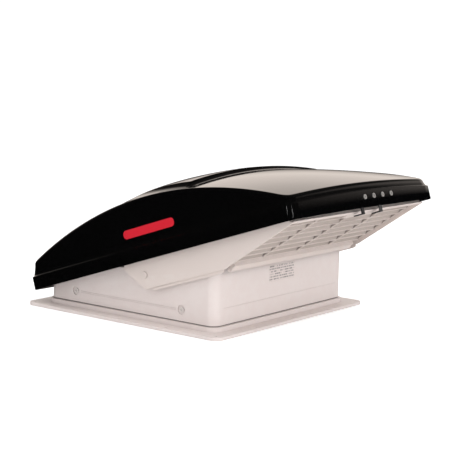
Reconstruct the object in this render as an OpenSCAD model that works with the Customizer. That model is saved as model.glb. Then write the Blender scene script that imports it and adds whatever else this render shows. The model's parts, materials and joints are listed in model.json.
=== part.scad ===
// Roof ventilator fan: a square roof flange and housing, a 12 inch axial fan, and a domed lid
// that tilts up at the front on two lift arms and carries a folding louvred rain shield.
// Origin: centre of the flange's underside. +X is the raised louvre end, +Z is up.

/* [Roof flange] */
// Outer side of the square housing, which is the roof opening's side
housing_side = 356; // [320:1:430]
// How far the flange reaches past the housing
flange_reach = 28.4; // [23:0.1:36]
// Thickness of the flange plate
flange_t = 5; // [3:0.5:7]
// Height of the outer curb above the roof
curb_h = 12.4; // [10:0.2:16]
// Height of the inner upstand that the housing is screwed to
upstand_h = 42; // [36:1:46]
// Distance between the rows of flange screws, as an inset from the flange's edge
row_inset = 6.6; // [5.5:0.1:9]
// How far the corner screws stand in from the rows
corner_inset = 4.7; // [3:0.1:7]
// Diameter of a flange screw hole
flange_hole_d = 4.5; // [3.5:0.1:6]

/* [Housing] */
// Wall thickness of the housing
housing_wall = 4; // [3:0.5:5]
// Height of the rear wall's top edge
rear_h = 66; // [62:1:80]
// Height of the front wall's top edge
front_h = 103; // [90:1:110]
// Height of the side screws
side_screw_z = 31.6; // [28:0.1:35]
// Distance between the two screws on one side
side_screw_pitch = 228; // [190:1:270]

/* [Fan] */
// Diameter over the blade tips
rotor_d = 305; // [254:1:308]
// Gap between the blade tips and the shroud
tip_gap = 3.5; // [3:0.1:6]
// Number of blades
blade_count = 10; // [5:1:12]
// Chord of a blade
blade_chord = 62; // [46:1:68]
// Pitch angle of a blade
blade_pitch = 26; // [20:1:29]
// Diameter of the hub
hub_d = 76; // [60:1:92]
// Diameter of the motor can
motor_d = 62; // [50:1:74]
// Height of the motor can
motor_h = 38; // [30:1:42]

/* [Lid] */
// Length of the lid along its rim
lid_length = 558.2; // [544:0.1:606]
// How far the lid overhangs each side of the housing
lid_side_reach = 25.3; // [21:0.1:30.5]
// Rise of the lid's side edge above the rim at its highest point
lid_rise = 96.4; // [92:0.1:118]
// Extra rise of the lid's crown at the centre line
lid_crown = 18; // [10:0.5:22]
// Height of the raised rear field of the lid's top
field_step = 6.5; // [3:0.5:8]
// Depth of the rim band
rim_band = 24; // [18:1:28]
// Wall thickness of the lid
lid_wall = 3; // [2.4:0.1:3.4]
// Angle that the lid is raised
lid_open = 18.05; // [15:0.05:20]

/* [Rain shield] */
// Thickness of the shield's side panels
panel_t = 3.5; // [2.5:0.1:4.2]
// Gap between the housing and a side panel
panel_gap = 6.5; // [6:0.1:7.5]
// How far the lower bar stands in front of the housing
bar_reach = 24; // [20:0.5:30]
// Height of the lower bar above the housing's front edge
bar_rise = 4.3; // [2:0.1:10]
// Distance of the shield's pivot in front of the housing's centre
pivot_x = 44.4; // [36:0.1:54]
// Height of the shield's pivot
pivot_z = 79.2; // [76:0.1:84]
// Radius of the shield's pivot bolt
pivot_r = 4; // [3:0.1:5]
// Number of louvre rows
slat_rows = 7; // [5:1:9]
// Number of louvre columns
slat_columns = 4; // [2:1:6]

/* [Lift and hinge] */
// Length of a lift arm, shaft to slide pin
arm_length = 120; // [116:1:126]
// Angle of a lift arm above level when the lid is closed
arm_low = 10; // [8:1:14]
// Angle of a lift arm above level when the lid is raised
arm_high = 40; // [36:1:46]
// Distance of the lift shaft behind the housing's front face
shaft_inset = 28; // [26:0.5:32]
// Height of the lift shaft
shaft_z = 78; // [77:0.5:84]
// Radius of the lift shaft
shaft_r = 5; // [4:0.1:5.5]
// Radius of the hinge pins
hinge_r = 3; // [2.5:0.1:3.5]
// Distance of the hinge pins in front of the housing's rear face
hinge_inset = 12; // [11:0.5:15]
// Distance between the two hinges
hinge_pitch = 220; // [180:1:250]

/* [Hidden] */
$fn = 48;

pale = [0.82, 0.78, 0.75];
black = [0.03, 0.03, 0.035];
dark_grey = [0.16, 0.16, 0.17];
steel = [0.72, 0.73, 0.75];
zinc = [0.6, 0.6, 0.58];
badge_blue = [0.25, 0.33, 0.45];

air = 0.4;            // gap between pieces that move past each other
run = 0.05;           // radial clearance of a running fit
cut = 1;              // how far a cutting body passes a face

// Housing and flange
half = housing_side / 2;
flange_half = half + flange_reach;
housing_in = half - housing_wall;
upstand_out = housing_in - 1.5;
upstand_in = upstand_out - 4;
row = flange_half - row_inset;
corner = row - corner_inset;
quarter = row / 2;
curb_reach = 4.5;
gasket_t = 1.4;
gasket_set = 1.3;     // how far the gasket stands in from the housing's face
housing_z = curb_h + gasket_t;
corner_r = 16;
edge_slope = atan((front_h - rear_h) / housing_side);
side_screw_x = [-side_screw_pitch / 2 - 1.7, side_screw_pitch / 2 - 1.7];
recess_d = 15;
recess_depth = 1.5;
label_y = [-38, 30];
label_z = [66, 92];
label_t = 0.3;

// Deck and fan
deck_t = 3;
deck_z = rear_h - 7;
deck_top = deck_z + deck_t;
deck_half = housing_in - 0.3;
rotor_r = rotor_d / 2;
throat_r = rotor_r + tip_gap;
throat_wall = 3;
throat_low = 24;
fan_z = deck_top - 18;
hub_h = 24;
hub_r = hub_d / 2;
axle_r = 4;
motor_r = motor_d / 2;
motor_z = fan_z + hub_h / 2 + 4;
spider_z = deck_top + 9;
spider_t = 4;
motor_rim_t = 3;
motor_screw_angles = [0, 120, 240];
motor_screw_r = motor_r + 3.8;
motor_screw_rod = 1.4;
grommet_x = -half + 50;
grommet_y = half - 30;
foot_angles = [60, 180, 300];
foot_r = throat_r + throat_wall + 6.5;

// Lid frame: u runs forward along the rim, w stands square to the rim
hinge_x = -half + hinge_inset;
hinge_z = rear_h + 4;
hinge_u = 41.3;
hinge_w = 34.8;
lid_x = hinge_x - hinge_u * cos(lid_open) + hinge_w * sin(lid_open);
lid_z = hinge_z - hinge_u * sin(lid_open) - hinge_w * cos(lid_open);
lid_half = half + lid_side_reach;
lid_peak = lid_length * 0.4835;
rear_wall_h = 44.5;
front_wall_h = 34.5;
wall_set = 2.5;       // how far the rim band stands proud of the wall above it
rear_lean = 9.7;
front_lean = 5.5;
side_lean = 3.2;
lid_corner_r = 13;
edge_r = 5;
rear_bow = (lid_rise - rear_wall_h) / pow(lid_peak - rear_lean, 2);
front_bow = (lid_rise - front_wall_h) / pow(lid_length - front_lean - lid_peak, 2);
front_crown = 6.7;
crown_end = 0.637;    // share of the length from where the crown falls to the front
field_front = lid_length * 0.652;
field_rear = lid_length * 0.34;
field_half = lid_half - 31.9;
field_ramp = 4;
field_shoulder = 10;
badge_u = 283.8;
badge_w = 46;
badge_half = [54, 7];
band_arch = 6.5;      // how far the front band's upper line rises from its ends to its middle
rim_arch = 1.7;       // the same for the front wall's lower edge
arch_run = 60;
front_screw_w = 18.2;
front_screw_y = [for (i = [-1.5, -0.5, 0.5, 1.5]) 33 + i * 25.85];

// Shield: s runs up the louvre face from the lower bar to the top rail
panel_in = half + panel_gap;
panel_out = panel_in + panel_t;
rail_u = lid_length - 12.5;
rail_w = -2.9;
rail_x = lid_x + rail_u * cos(lid_open) - rail_w * sin(lid_open);
rail_z = lid_z + rail_u * sin(lid_open) + rail_w * cos(lid_open);
bar_x = half + bar_reach;
bar_z = front_h + bar_rise;
face_len = norm([rail_x - bar_x, rail_z - bar_z]);
face_angle = atan((rail_z - bar_z) / (rail_x - bar_x));
face_recess = 7;      // how far the grille stands in behind the side panels' front edges
slat_t = 1.8;
slat_depth = 7.5;
rib_t = 1.8;
grille_low = 5;
grille_high = face_len - 5;
rail_len = 6;
rail_t = 3.2;
pad_y = [-36, 46];
pad_len = 10;
hook_y = [-19, 33];
hook_w = 8;
hook_t = 1.8;
hook_drop = 8.3;
hook_reach = 4;       // how far a hook's foot reaches behind the rail's top edge
bar_half = 166;
bar_end_r = 7;
bar_span = 60;

// Lift arms
shaft_x = half - shaft_inset;
arm_t = 6.5;
arm_out = half - 13.5;
plate_in = arm_out + 2;   // inner face of a cam plate
plate_t = 3;
slide_r = 4;
slot_r = slide_r + 0.35;
boss_r = 10;
pivot_inner_t = 4;    // thickness of a pivot bolt's flange inside the housing

// Crank and controls
crank_x = shaft_x - 22;
crank_y = -(half - 39);
crank_r = 3;
knob_r = 15;
knob_z = 1.5;
knob_h = 9;
knob_screw_r = 1.5;
gearbox_x = [shaft_x - 31, shaft_x + 15];
gearbox_y = [-arm_out + 9.5, -arm_out + 41.5];
gearbox_top = shaft_z + 16;
screen_z = 12;
screen_t = 4;
screen_half = upstand_in - 1;
screen_border = 19;
panel_y = [screen_half - 40, screen_half - 9];
panel_half = 72;
button_x = [-50, -25, 0, 25, 50];
button_size = [15, 10];
button_z = 0.9;
button_h = 4.8;

// ---- shared shapes ----

module rounded(hx, hy, r) {
    square([2 * (hx - r), 2 * hy], center = true);
    square([2 * hx, 2 * (hy - r)], center = true);
    for (x = [-1, 1], y = [-1, 1]) translate([x * (hx - r), y * (hy - r)]) circle(r);
}

module slab(h, hx, hy, r) linear_extrude(h) rounded(hx, hy, r);

function about(middle, reach) = [middle - reach, middle + reach];

module box(x, y, z) translate([x[0], y[0], z[0]]) cube([x[1] - x[0], y[1] - y[0], z[1] - z[0]]);

// A disc or rod along Y, from y0 to y1
module rod_y(x, z, r, y0, y1) translate([x, y0, z]) rotate([-90, 0, 0]) cylinder(h = y1 - y0, r = r);

// The same along Y on one side of the centre plane, measured outwards
module side_rod(side, x, z, r, y0, y1)
    rod_y(x, z, r, side > 0 ? y0 : -y1, side > 0 ? y1 : -y0);

// A plate with an (x, z) outline, between two distances from the centre plane
module side_plate(side, y0, y1) translate([0, side > 0 ? y1 : -y0, 0]) rotate([90, 0, 0])
    linear_extrude(y1 - y0) children();

module in_lid() translate([lid_x, 0, lid_z]) rotate([0, -lid_open, 0]) children();

module in_face() translate([bar_x, 0, bar_z]) rotate([0, -face_angle, 0]) children();

// Pan head screw, head up, with its head's underside at z = 0
module screw(head_r, head_h, rod_r, rod_l) {
    difference() {
        cylinder(h = head_h, r = head_r);
        translate([0, 0, head_h * 0.45]) cylinder(h = head_h, r = head_r * 0.42, $fn = 6);
    }
    translate([0, 0, -rod_l]) cylinder(h = rod_l, r = rod_r);
}

// ---- lid surface ----

function smooth(t) = let (c = min(1, max(0, t))) c * c * (3 - 2 * c);
function side_rise(u) = lid_rise - (u < lid_peak ? rear_bow : front_bow) * pow(u - lid_peak, 2);
function crown(u) = let (f = u / lid_length)
    f < crown_end ? lid_crown * (0.6 + 0.4 * smooth(f * 2))
        : lid_crown + (front_crown - lid_crown) * (f - crown_end) / (1 - crown_end);
function field(u, y) = field_step * smooth((u - field_rear) / (lid_length * 0.22))
    * (1 - smooth((u - field_front) / field_ramp))
    * (1 - smooth((abs(y) - field_half) / field_shoulder));
function lid_top(u, y) = side_rise(u) + crown(u) * (1 - pow(y / (lid_half - 5), 2)) + field(u, y);

// Stations across the lid as shares of its length and half width: close together where the
// corners turn and at the raised field's edge
corner_steps = [0, 0.3, 0.65, 1];
corner_share = lid_corner_r / lid_length;
corner_share_y = lid_corner_r / lid_half;
edge_share = field_front / lid_length;
ramp_share = field_ramp / lid_length;
span_steps = 11;
front_steps = 6;
u_stations = concat(
    [for (c = corner_steps) c * corner_share],
    [for (i = [1 : span_steps]) corner_share + (edge_share - corner_share) * i / (span_steps + 0.4)],
    [edge_share, edge_share + ramp_share / 2, edge_share + ramp_share],
    [for (i = [1 : front_steps])
        edge_share + ramp_share + (1 - corner_share - edge_share - ramp_share) * i / (front_steps + 0.4)],
    [for (i = [3 : -1 : 0]) 1 - corner_steps[i] * corner_share]);
y_mid_steps = 10;
shoulder = [for (i = [0 : 3]) (field_half + field_shoulder * i / 3) / (lid_half - wall_set)];
y_stations = concat(
    [for (c = corner_steps) -1 + c * corner_share_y],
    [for (i = [3 : -1 : 1]) -shoulder[i]],
    [for (i = [0 : y_mid_steps]) shoulder[0] * (2 * i / y_mid_steps - 1)],
    [for (i = [1 : 3]) shoulder[i]],
    [for (i = [3 : -1 : 0]) 1 - corner_steps[i] * corner_share_y]);
nu = len(u_stations);
ny = len(y_stations);

// Moves a point of the square plan inside the corner squares onto concentric round corners
function turned(u, y, u0, u1, hy) = let (r = lid_corner_r,
        cu = u < u0 + r ? u0 + r : (u > u1 - r ? u1 - r : u),
        cy = y < -hy + r ? -hy + r : (y > hy - r ? hy - r : y),
        d = [u - cu, y - cy], far = max(abs(d[0]), abs(d[1])), n = norm(d))
    n == 0 || d[0] == 0 || d[1] == 0 ? [u, y] : [cu, cy] + d * far / n;
function plan(i, j, u0, u1, hy) =
    turned(u0 + u_stations[i] * (u1 - u0), y_stations[j] * hy, u0, u1, hy);
// Grid places around the border, anticlockwise from the rear right corner
border = concat([for (i = [0 : nu - 1]) [i, 0]], [for (j = [1 : ny - 1]) [nu - 1, j]],
    [for (i = [nu - 2 : -1 : 0]) [i, ny - 1]], [for (j = [ny - 2 : -1 : 1]) [0, j]]);
nb = len(border);

// How much of the front wall's arch shows at a place
function arch(u, y) = smooth((u - lid_length + arch_run) / arch_run) * (1 - pow(y / lid_half, 2));

// Rings of the lid's wall. inset: how far in a ring stands at the rear, front and sides
function ring_plan(inset) = [for (b = border)
    plan(b[0], b[1], inset[0], lid_length - inset[1], lid_half - inset[2])];
function ring(inset, w, rise) = [for (p = ring_plan(inset)) [p[0], p[1], w + rise * arch(p[0], p[1])]];
function ring_below_top(inset, drop) = [for (p = ring_plan(inset)) [p[0], p[1], lid_top(p[0], p[1]) - drop]];
function sheet(rear, front, side, drop) = [for (i = [0 : nu - 1], j = [0 : ny - 1])
    let (p = plan(i, j, rear, lid_length - front, lid_half - side))
    [p[0], p[1], lid_top(p[0], p[1]) - drop]];

function wall_faces(at, flip) = [for (k = [0 : nb - 1])
    let (a = at + k, b = at + (k + 1) % nb, q = [a, b, b + nb, a + nb]) flip ? [q[3], q[2], q[1], q[0]] : q];
function sheet_faces(at, flip) = [for (i = [0 : nu - 2], j = [0 : ny - 2])
    let (a = at + i * ny + j, q = [a, a + ny, a + ny + 1, a + 1]) flip ? [q[3], q[2], q[1], q[0]] : q];
function seam_faces(at, top, flip) = [for (k = [0 : nb - 1])
    let (a = at + k, b = at + (k + 1) % nb,
        c = top + border[(k + 1) % nb][0] * ny + border[(k + 1) % nb][1],
        d = top + border[k][0] * ny + border[k][1],
        q = [a, b, c, d]) flip ? [q[3], q[2], q[1], q[0]] : q];
function split(quads) = [for (q = quads, t = [[q[0], q[1], q[2]], [q[0], q[2], q[3]]]) t];

module lid_shell() color(black) in_lid() {
    rings = [
        ring([0, 0, 0], 0, rim_arch),
        ring([0, 0, 0], rim_band - 2, band_arch),
        ring([wall_set, wall_set, wall_set], rim_band, band_arch),
        ring_below_top([rear_lean - 2, front_lean - 1, wall_set + side_lean - 1], edge_r),
        ring_below_top([rear_lean, front_lean, wall_set + side_lean], 1.6)];
    outer_at = len(rings) * nb;
    t = lid_wall;
    inner = [
        ring([t, t, t], 0, rim_arch),
        ring((t + wall_set) * [1, 1, 1], rim_band - 2, band_arch)];
    inner_at = outer_at + nu * ny;
    inner_top = inner_at + len(inner) * nb;
    points = concat([for (r = rings) each r], sheet(rear_lean + edge_r - 2, front_lean + edge_r - 2,
            wall_set + side_lean + edge_r - 2, 0),
        [for (r = inner) each r],
        sheet(rear_lean + t, front_lean + t, wall_set + side_lean + t, t));
    rim = [for (k = [0 : nb - 1]) [inner_at + k, inner_at + (k + 1) % nb, (k + 1) % nb, k]];
    faces = concat(
        [for (n = [0 : len(rings) - 2]) each wall_faces(n * nb, false)],
        seam_faces((len(rings) - 1) * nb, outer_at, false),
        sheet_faces(outer_at, false),
        wall_faces(inner_at, true),
        seam_faces(inner_at + nb, inner_top, true),
        sheet_faces(inner_top, true),
        rim);
    polyhedron(points, [for (f = split(faces)) [f[2], f[1], f[0]]], convexity = 6);
}

// ---- flange and housing ----

module mounting_flange() color(pale) difference() {
    union() {
        slab(flange_t, flange_half, flange_half, corner_r + 1);
        slab(curb_h, half + curb_reach, half + curb_reach, corner_r + curb_reach);
        slab(upstand_h, upstand_out, upstand_out, corner_r - 5);
    }
    translate([0, 0, -cut]) slab(upstand_h + 2 * cut, upstand_in, upstand_in, corner_r - 9);
    for (p = flange_holes()) translate([p[0], p[1], -cut])
        cylinder(h = flange_t + 2 * cut, d = flange_hole_d);
    for (side = [-1, 1], x = side_screw_x)
        side_rod(side, x, side_screw_z, 1.8, upstand_in - cut, upstand_out + cut);
}

function flange_holes() = concat(
    [for (x = [-1, 1], y = [-1, 1]) [x * corner, y * corner]],
    [for (x = [-1, 0, 1], y = [-1, 1]) [x * quarter, y * row]],
    [for (x = [-1, 1], y = [-1, 0, 1]) [x * row, y * quarter]]);

module curb_gasket() color(black) translate([0, 0, curb_h]) difference() {
    slab(gasket_t, half - gasket_set, half - gasket_set, corner_r - gasket_set);
    translate([0, 0, -cut]) slab(gasket_t + 2 * cut, housing_in + 0.3, housing_in + 0.3, corner_r - 4);
}

module fan_housing() color(pale) difference() {
    union() {
        difference() {
            translate([0, 0, housing_z]) slab(front_h - housing_z, half, half, corner_r);
            translate([0, 0, housing_z - cut]) slab(front_h, housing_in, housing_in, corner_r - 4);
        }
        for (x = [-1, 1], y = [-1, 1]) {
            box(about(x * (housing_in - 5), 5.5), about(y * 70, 4), [deck_z - 9, deck_z]);
            box(about(y * 70, 4), about(x * (housing_in - 5), 5.5), [deck_z - 9, deck_z]);
        }
        for (side = [-1, 1])
            side_rod(side, pivot_x, pivot_z, 9, half - 1, panel_in - air);
    }
    // Sloping top edge
    translate([-half, 0, rear_h]) rotate([0, -edge_slope, 0])
        translate([-60, -half - cut, 0]) cube([housing_side + 160, housing_side + 2 * cut, 80]);
    for (side = [-1, 1]) {
        for (x = side_screw_x) {
            side_rod(side, x, side_screw_z, recess_d / 2, half - recess_depth, half + cut);
            side_rod(side, x, side_screw_z, 2.2, housing_in - cut, half);
        }
        // Pair of fine grooves between the two screws
        for (z = [-1.2, 1.2]) side_plate(side, half - 0.5, half + cut)
            translate([side_screw_x[0] + 11, side_screw_z + z - 0.4]) square([side_screw_pitch - 22, 0.8]);
        side_rod(side, pivot_x, pivot_z, pivot_r, housing_in - 2 * cut, panel_in + cut);
    }
    // Moulding line across the front wall
    box([half - 0.5, half + cut], [-half + 22, half - 22], [39.6, 40.4]);
}

module housing_screws() color(steel) for (side = [-1, 1], x = side_screw_x)
    translate([x, side * (half - recess_depth), side_screw_z]) rotate([-side * 90, 0, 0])
        screw(4.4, 1.3, 1.8, housing_wall + 5);

module rating_label() color([0.9, 0.9, 0.88])
    box([half, half + label_t], label_y, label_z);

// ---- fan ----

module fan_deck() color(dark_grey) difference() {
    translate([0, 0, deck_z]) slab(deck_t, deck_half, deck_half, corner_r - 5);
    translate([0, 0, deck_z - cut]) cylinder(h = deck_t + 2 * cut, r = throat_r + throat_wall, $fn = 96);
    translate([crank_x, crank_y, deck_z - cut]) cylinder(h = deck_t + 2 * cut, r = crank_r + 2.5);
    translate([grommet_x, grommet_y, deck_z - cut]) cylinder(h = deck_t + 2 * cut, r = 6);
    for (p = deck_screw_places()) translate([p[0], p[1], deck_z - cut])
        cylinder(h = deck_t + 2 * cut, r = 2);
    for (a = foot_angles) rotate([0, 0, a]) translate([foot_r, 0, deck_z - cut])
        cylinder(h = deck_t + 2 * cut, r = 2);
}

// Round throat around the blades, with a lip above the deck
module fan_shroud() color(dark_grey) difference() {
    translate([0, 0, throat_low])
        cylinder(h = deck_top + 4 - throat_low, r = throat_r + throat_wall, $fn = 96);
    translate([0, 0, throat_low - cut]) cylinder(h = deck_top + 6, r = throat_r, $fn = 96);
}

function deck_screw_places() = [for (x = [-1, 1], y = [-1, 1])
    each [[x * (housing_in - 6), y * 70], [x * 70, y * (housing_in - 6)]]];

module deck_screws() color(zinc) for (p = deck_screw_places())
    translate([p[0], p[1], deck_top]) screw(3.6, 2, 1.9, deck_t);

module motor_bracket() color(zinc) difference() {
    union() {
        translate([0, 0, spider_z]) cylinder(h = spider_t, r = motor_r + 9);
        for (a = foot_angles) rotate([0, 0, a]) {
            box([motor_r + 2, foot_r], [-6, 6], [spider_z, spider_z + spider_t]);
            translate([foot_r, 0, deck_top]) cylinder(h = spider_z + spider_t - deck_top, r = 6);
        }
    }
    translate([0, 0, spider_z - cut]) cylinder(h = spider_t + 2 * cut, r = motor_r + 0.02);
    for (a = foot_angles) rotate([0, 0, a]) translate([foot_r, 0, deck_top - cut])
        cylinder(h = spider_z, r = 2);
}

module bracket_screws() color(zinc) for (a = foot_angles) rotate([0, 0, a])
    translate([foot_r, 0, spider_z + spider_t]) screw(3.8, 2.4, 1.9, spider_z + spider_t - deck_z);

module fan_motor() color(dark_grey) difference() {
    union() {
        translate([0, 0, motor_z]) cylinder(h = motor_h, r = motor_r);
        translate([0, 0, spider_z + spider_t]) cylinder(h = motor_rim_t, r = motor_r + 7);
    }
    translate([0, 0, motor_z - cut]) cylinder(h = motor_h - 6, r = axle_r + run);
    for (a = motor_screw_angles) rotate([0, 0, a])
        translate([motor_screw_r, 0, spider_z + spider_t])
            cylinder(h = motor_rim_t + cut, r = motor_screw_rod);
}

module motor_cap() color(black) translate([0, 0, motor_z + motor_h]) {
    cylinder(h = 3, r = motor_r - 1);
    for (a = [0 : 30 : 330]) rotate([0, 0, a]) translate([motor_r - 12, -1.2, 2.5]) cube([9, 2.4, 2.5]);
}

module motor_screws() color(zinc) for (a = motor_screw_angles) rotate([0, 0, a])
    translate([motor_screw_r, 0, spider_z + spider_t + motor_rim_t])
        screw(2.8, 1.8, motor_screw_rod, motor_rim_t - 0.5);

module lead_grommet() color(black) translate([grommet_x, grommet_y, deck_z]) rotate_extrude()
    polygon([[3, -1.5], [8, -1.5], [8, 0], [6, 0], [6, deck_t], [8, deck_t], [8, deck_t + 1.5],
        [3, deck_t + 1.5]]);

module impeller() color(dark_grey) difference() {
    union() {
        translate([0, 0, fan_z - hub_h / 2]) cylinder(h = hub_h, r = hub_r);
        intersection() {
            for (i = [0 : blade_count - 1]) rotate([0, 0, i * 360 / blade_count])
                translate([hub_r - 3, 0, fan_z]) rotate([blade_pitch, 0, 0])
                    translate([0, -blade_chord / 2, -1.2]) cube([rotor_r, blade_chord, 2.4]);
            translate([0, 0, fan_z - 40]) cylinder(h = 80, r = rotor_r, $fn = 96);
        }
    }
    translate([0, 0, fan_z - hub_h / 2 - cut]) cylinder(h = hub_h + 2 * cut, r = axle_r);
}

module motor_shaft() color(steel) translate([0, 0, fan_z - hub_h / 2 - 9])
    cylinder(h = motor_z + motor_h - 9 - (fan_z - hub_h / 2 - 9), r = axle_r);

module hub_nut() color(steel) translate([0, 0, fan_z - hub_h / 2 - 6]) difference() {
    cylinder(h = 6, r = 7.5, $fn = 6);
    translate([0, 0, -cut]) cylinder(h = 6 + 2 * cut, r = axle_r);
}

// ---- inside screen and controls ----

module screen_frame() color(pale) difference() {
    union() {
        difference() {
            translate([0, 0, screen_z]) slab(screen_t, screen_half, screen_half, corner_r - 10);
            box([-1, 1] * (screen_half - screen_border),
                [-screen_half + screen_border, panel_y[0] - 2], [screen_z - cut, screen_z + screen_t + cut]);
        }
        box([crank_x - 18, screen_half - 8], [-screen_half + 8, crank_y + 18],
            [screen_z, screen_z + screen_t]);
    }
    translate([crank_x, crank_y, screen_z - cut]) cylinder(h = screen_t + 2 * cut, r = crank_r + 1.5);
}

module screen_mesh() color(dark_grey) {
    border = 4;
    x1 = screen_half - screen_border + border;
    y0 = -x1;
    y1 = panel_y[0] - 2 + border;
    bars = 12;
    z = screen_z + screen_t;
    difference() {
        union() {
            difference() {
                box([-x1, x1], [y0, y1], [z, z + 1]);
                box([-x1 + border, x1 - border], [y0 + border, y1 - border], [z - cut, z + 2]);
            }
            for (i = [1 : bars - 1]) {
                box(about(-x1 + 2 * x1 * i / bars, 0.5), [y0, y1], [z, z + 1]);
                box([-x1, x1], about(y0 + (y1 - y0) * i / bars, 0.5), [z, z + 1]);
            }
        }
        box([crank_x - 16, x1 + cut], [y0 - cut, crank_y + 16], [z - cut, z + 2]);
    }
}

module screen_clips() color(pale) for (a = [0, 180], s = [-1, 1]) rotate([0, 0, a])
    box([screen_half - 4, upstand_in], about(s * 95, 9), [screen_z - 3, screen_z]);

module control_panel() color(pale) difference() {
    box([-panel_half, panel_half], panel_y, [2, screen_z]);
    box([-panel_half + 2, panel_half - 2], panel_y + [2, -2], [4, screen_z + cut]);
    for (x = button_x) translate([x, (panel_y[0] + panel_y[1]) / 2, 1])
        slab(4, button_size[0] / 2 + air, button_size[1] / 2 + air, 2);
}

module control_board() color([0.1, 0.35, 0.2])
    box([-panel_half + 2.5, panel_half - 2.5], panel_y + [2.5, -2.5], [screen_z - 2.2, screen_z - 0.6]);

module push_button(i) color(dark_grey) translate([button_x[i], (panel_y[0] + panel_y[1]) / 2, button_z]) {
    slab(button_h, button_size[0] / 2, button_size[1] / 2, 2);
    translate([0, 0, button_h - 1.6]) slab(1.6, button_size[0] / 2 + 1.5, button_size[1] / 2 + 1.5, 2);
}

module power_button() push_button(0);
module faster_button() push_button(1);
module slower_button() push_button(2);
module direction_button() push_button(3);
module auto_button() push_button(4);

// ---- hinges ----

ear_gap = 4 + air;

module hinge_bracket(side) color(zinc) translate([0, side * hinge_pitch / 2, 0]) difference() {
    union() {
        box([hinge_x - 6, hinge_x + 16], [-12, 12], [deck_top, deck_top + 2]);
        for (y = [-1, 1]) translate([0, y * (ear_gap + 2.5), 0]) {
            box([hinge_x - 6, hinge_x + 6], [-2.5, 2.5], [deck_top, hinge_z]);
            rod_y(hinge_x, hinge_z, 6, -2.5, 2.5);
        }
    }
    rod_y(hinge_x, hinge_z, hinge_r + 0.02, -15, 15);
}

module hinge_bracket_left() hinge_bracket(1);
module hinge_bracket_right() hinge_bracket(-1);

module hinge_pins() color(steel) for (side = [-1, 1]) translate([0, side * hinge_pitch / 2, 0]) {
    rod_y(hinge_x, hinge_z, hinge_r, -ear_gap - 6, ear_gap + 6);
    rod_y(hinge_x, hinge_z, hinge_r + 1.6, ear_gap + 5.1, ear_gap + 6.6);
}

module lid_hinge(side) color(black) in_lid() translate([0, side * hinge_pitch / 2 + 4, 0])
    rotate([90, 0, 0]) linear_extrude(8) difference() {
        union() {
            translate([hinge_u, hinge_w]) circle(6);
            polygon([[hinge_u - 6, hinge_w], [hinge_u + 6, hinge_w],
                [hinge_u + 22, lid_top(hinge_u + 22, hinge_pitch / 2) - lid_wall + 0.8],
                [hinge_u - 6, lid_top(hinge_u - 6, hinge_pitch / 2) - lid_wall + 0.8]]);
        }
        translate([hinge_u, hinge_w]) circle(hinge_r + run);
    }

module lid_hinge_left() lid_hinge(1);
module lid_hinge_right() lid_hinge(-1);

// ---- lift ----

module lift_gearbox() color(dark_grey) difference() {
    box(gearbox_x, gearbox_y, [deck_top, gearbox_top]);
    box(gearbox_x + [3, -3], gearbox_y + [3, -3], [deck_top + 3, gearbox_top + cut]);
    rod_y(shaft_x, shaft_z, shaft_r + run, gearbox_y[0] - cut, gearbox_y[1] + cut);
    translate([crank_x, crank_y, deck_top - cut]) cylinder(h = 3 + 2 * cut, r = crank_r + run);
}

module gearbox_cover() color(black) {
    box(gearbox_x, gearbox_y, [gearbox_top, gearbox_top + 2.5]);
    for (x = gearbox_x + [7, -7], y = gearbox_y + [7, -7])
        translate([x, y, gearbox_top + 2.5]) cylinder(h = 1.4, r = 2.6);
}

module shaft_block() color(dark_grey) difference() {
    union() {
        box([shaft_x - 8, shaft_x + 8], [arm_out - 24, arm_out - 12], [deck_top, shaft_z]);
        box([shaft_x - 16, shaft_x + 16], [arm_out - 24, arm_out - 12], [deck_top, deck_top + 3]);
        rod_y(shaft_x, shaft_z, 9, arm_out - 24, arm_out - 12);
    }
    rod_y(shaft_x, shaft_z, shaft_r + run, arm_out - 30, arm_out);
}

module lift_shaft() color(steel) rod_y(shaft_x, shaft_z, shaft_r, -arm_out, arm_out);

slide_x = shaft_x - arm_length * cos(arm_high);
slide_z = shaft_z + arm_length * sin(arm_high);

module lift_arm(side) color(zinc) difference() {
    union() {
        side_rod(side, shaft_x, shaft_z, boss_r, arm_out - arm_t, arm_out);
        side_rod(side, slide_x, slide_z, 8, arm_out - arm_t, arm_out);
        side_plate(side, arm_out - arm_t, arm_out) translate([shaft_x, shaft_z])
            rotate(180 - arm_high) polygon([[0, -8], [arm_length, -6], [arm_length, 6], [0, 8]]);
    }
    side_rod(side, shaft_x, shaft_z, shaft_r, arm_out - arm_t - cut, arm_out + cut);
    side_rod(side, slide_x, slide_z, slide_r - 1, arm_out - arm_t - cut, arm_out + cut);
}

module lift_arm_left() lift_arm(1);
module lift_arm_right() lift_arm(-1);

module slide_pins() color(steel) for (side = [-1, 1]) {
    side_rod(side, slide_x, slide_z, slide_r - 1, arm_out - arm_t, arm_out);
    side_rod(side, slide_x, slide_z, slide_r, arm_out, plate_in + plate_t + 1.5);
}

// Slide pin's place in the lid's frame when the lid has come down by a share of its travel
function slide_in_lid(share) = let (
        phi = arm_high + (arm_low - arm_high) * share, t = -lid_open * (1 - share),
        p = [shaft_x - arm_length * cos(phi) - hinge_x, shaft_z + arm_length * sin(phi) - hinge_z])
    [hinge_u + p[0] * cos(t) - p[1] * sin(t), hinge_w + p[0] * sin(t) + p[1] * cos(t)];
slot_steps = 12;
slot_path = [for (i = [-1 : slot_steps + 1]) slide_in_lid(i / slot_steps)];
slot_last = len(slot_path) - 1;
function slot_side(i) = let (d = slot_path[min(slot_last, i + 1)] - slot_path[max(0, i - 1)])
    [-d[1], d[0]] / norm(d);
function along_slot(gap) = concat(
    [for (i = [0 : slot_last]) slot_path[i] + slot_side(i) * gap],
    [for (i = [slot_last : -1 : 0]) slot_path[i] - slot_side(i) * gap]);

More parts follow.
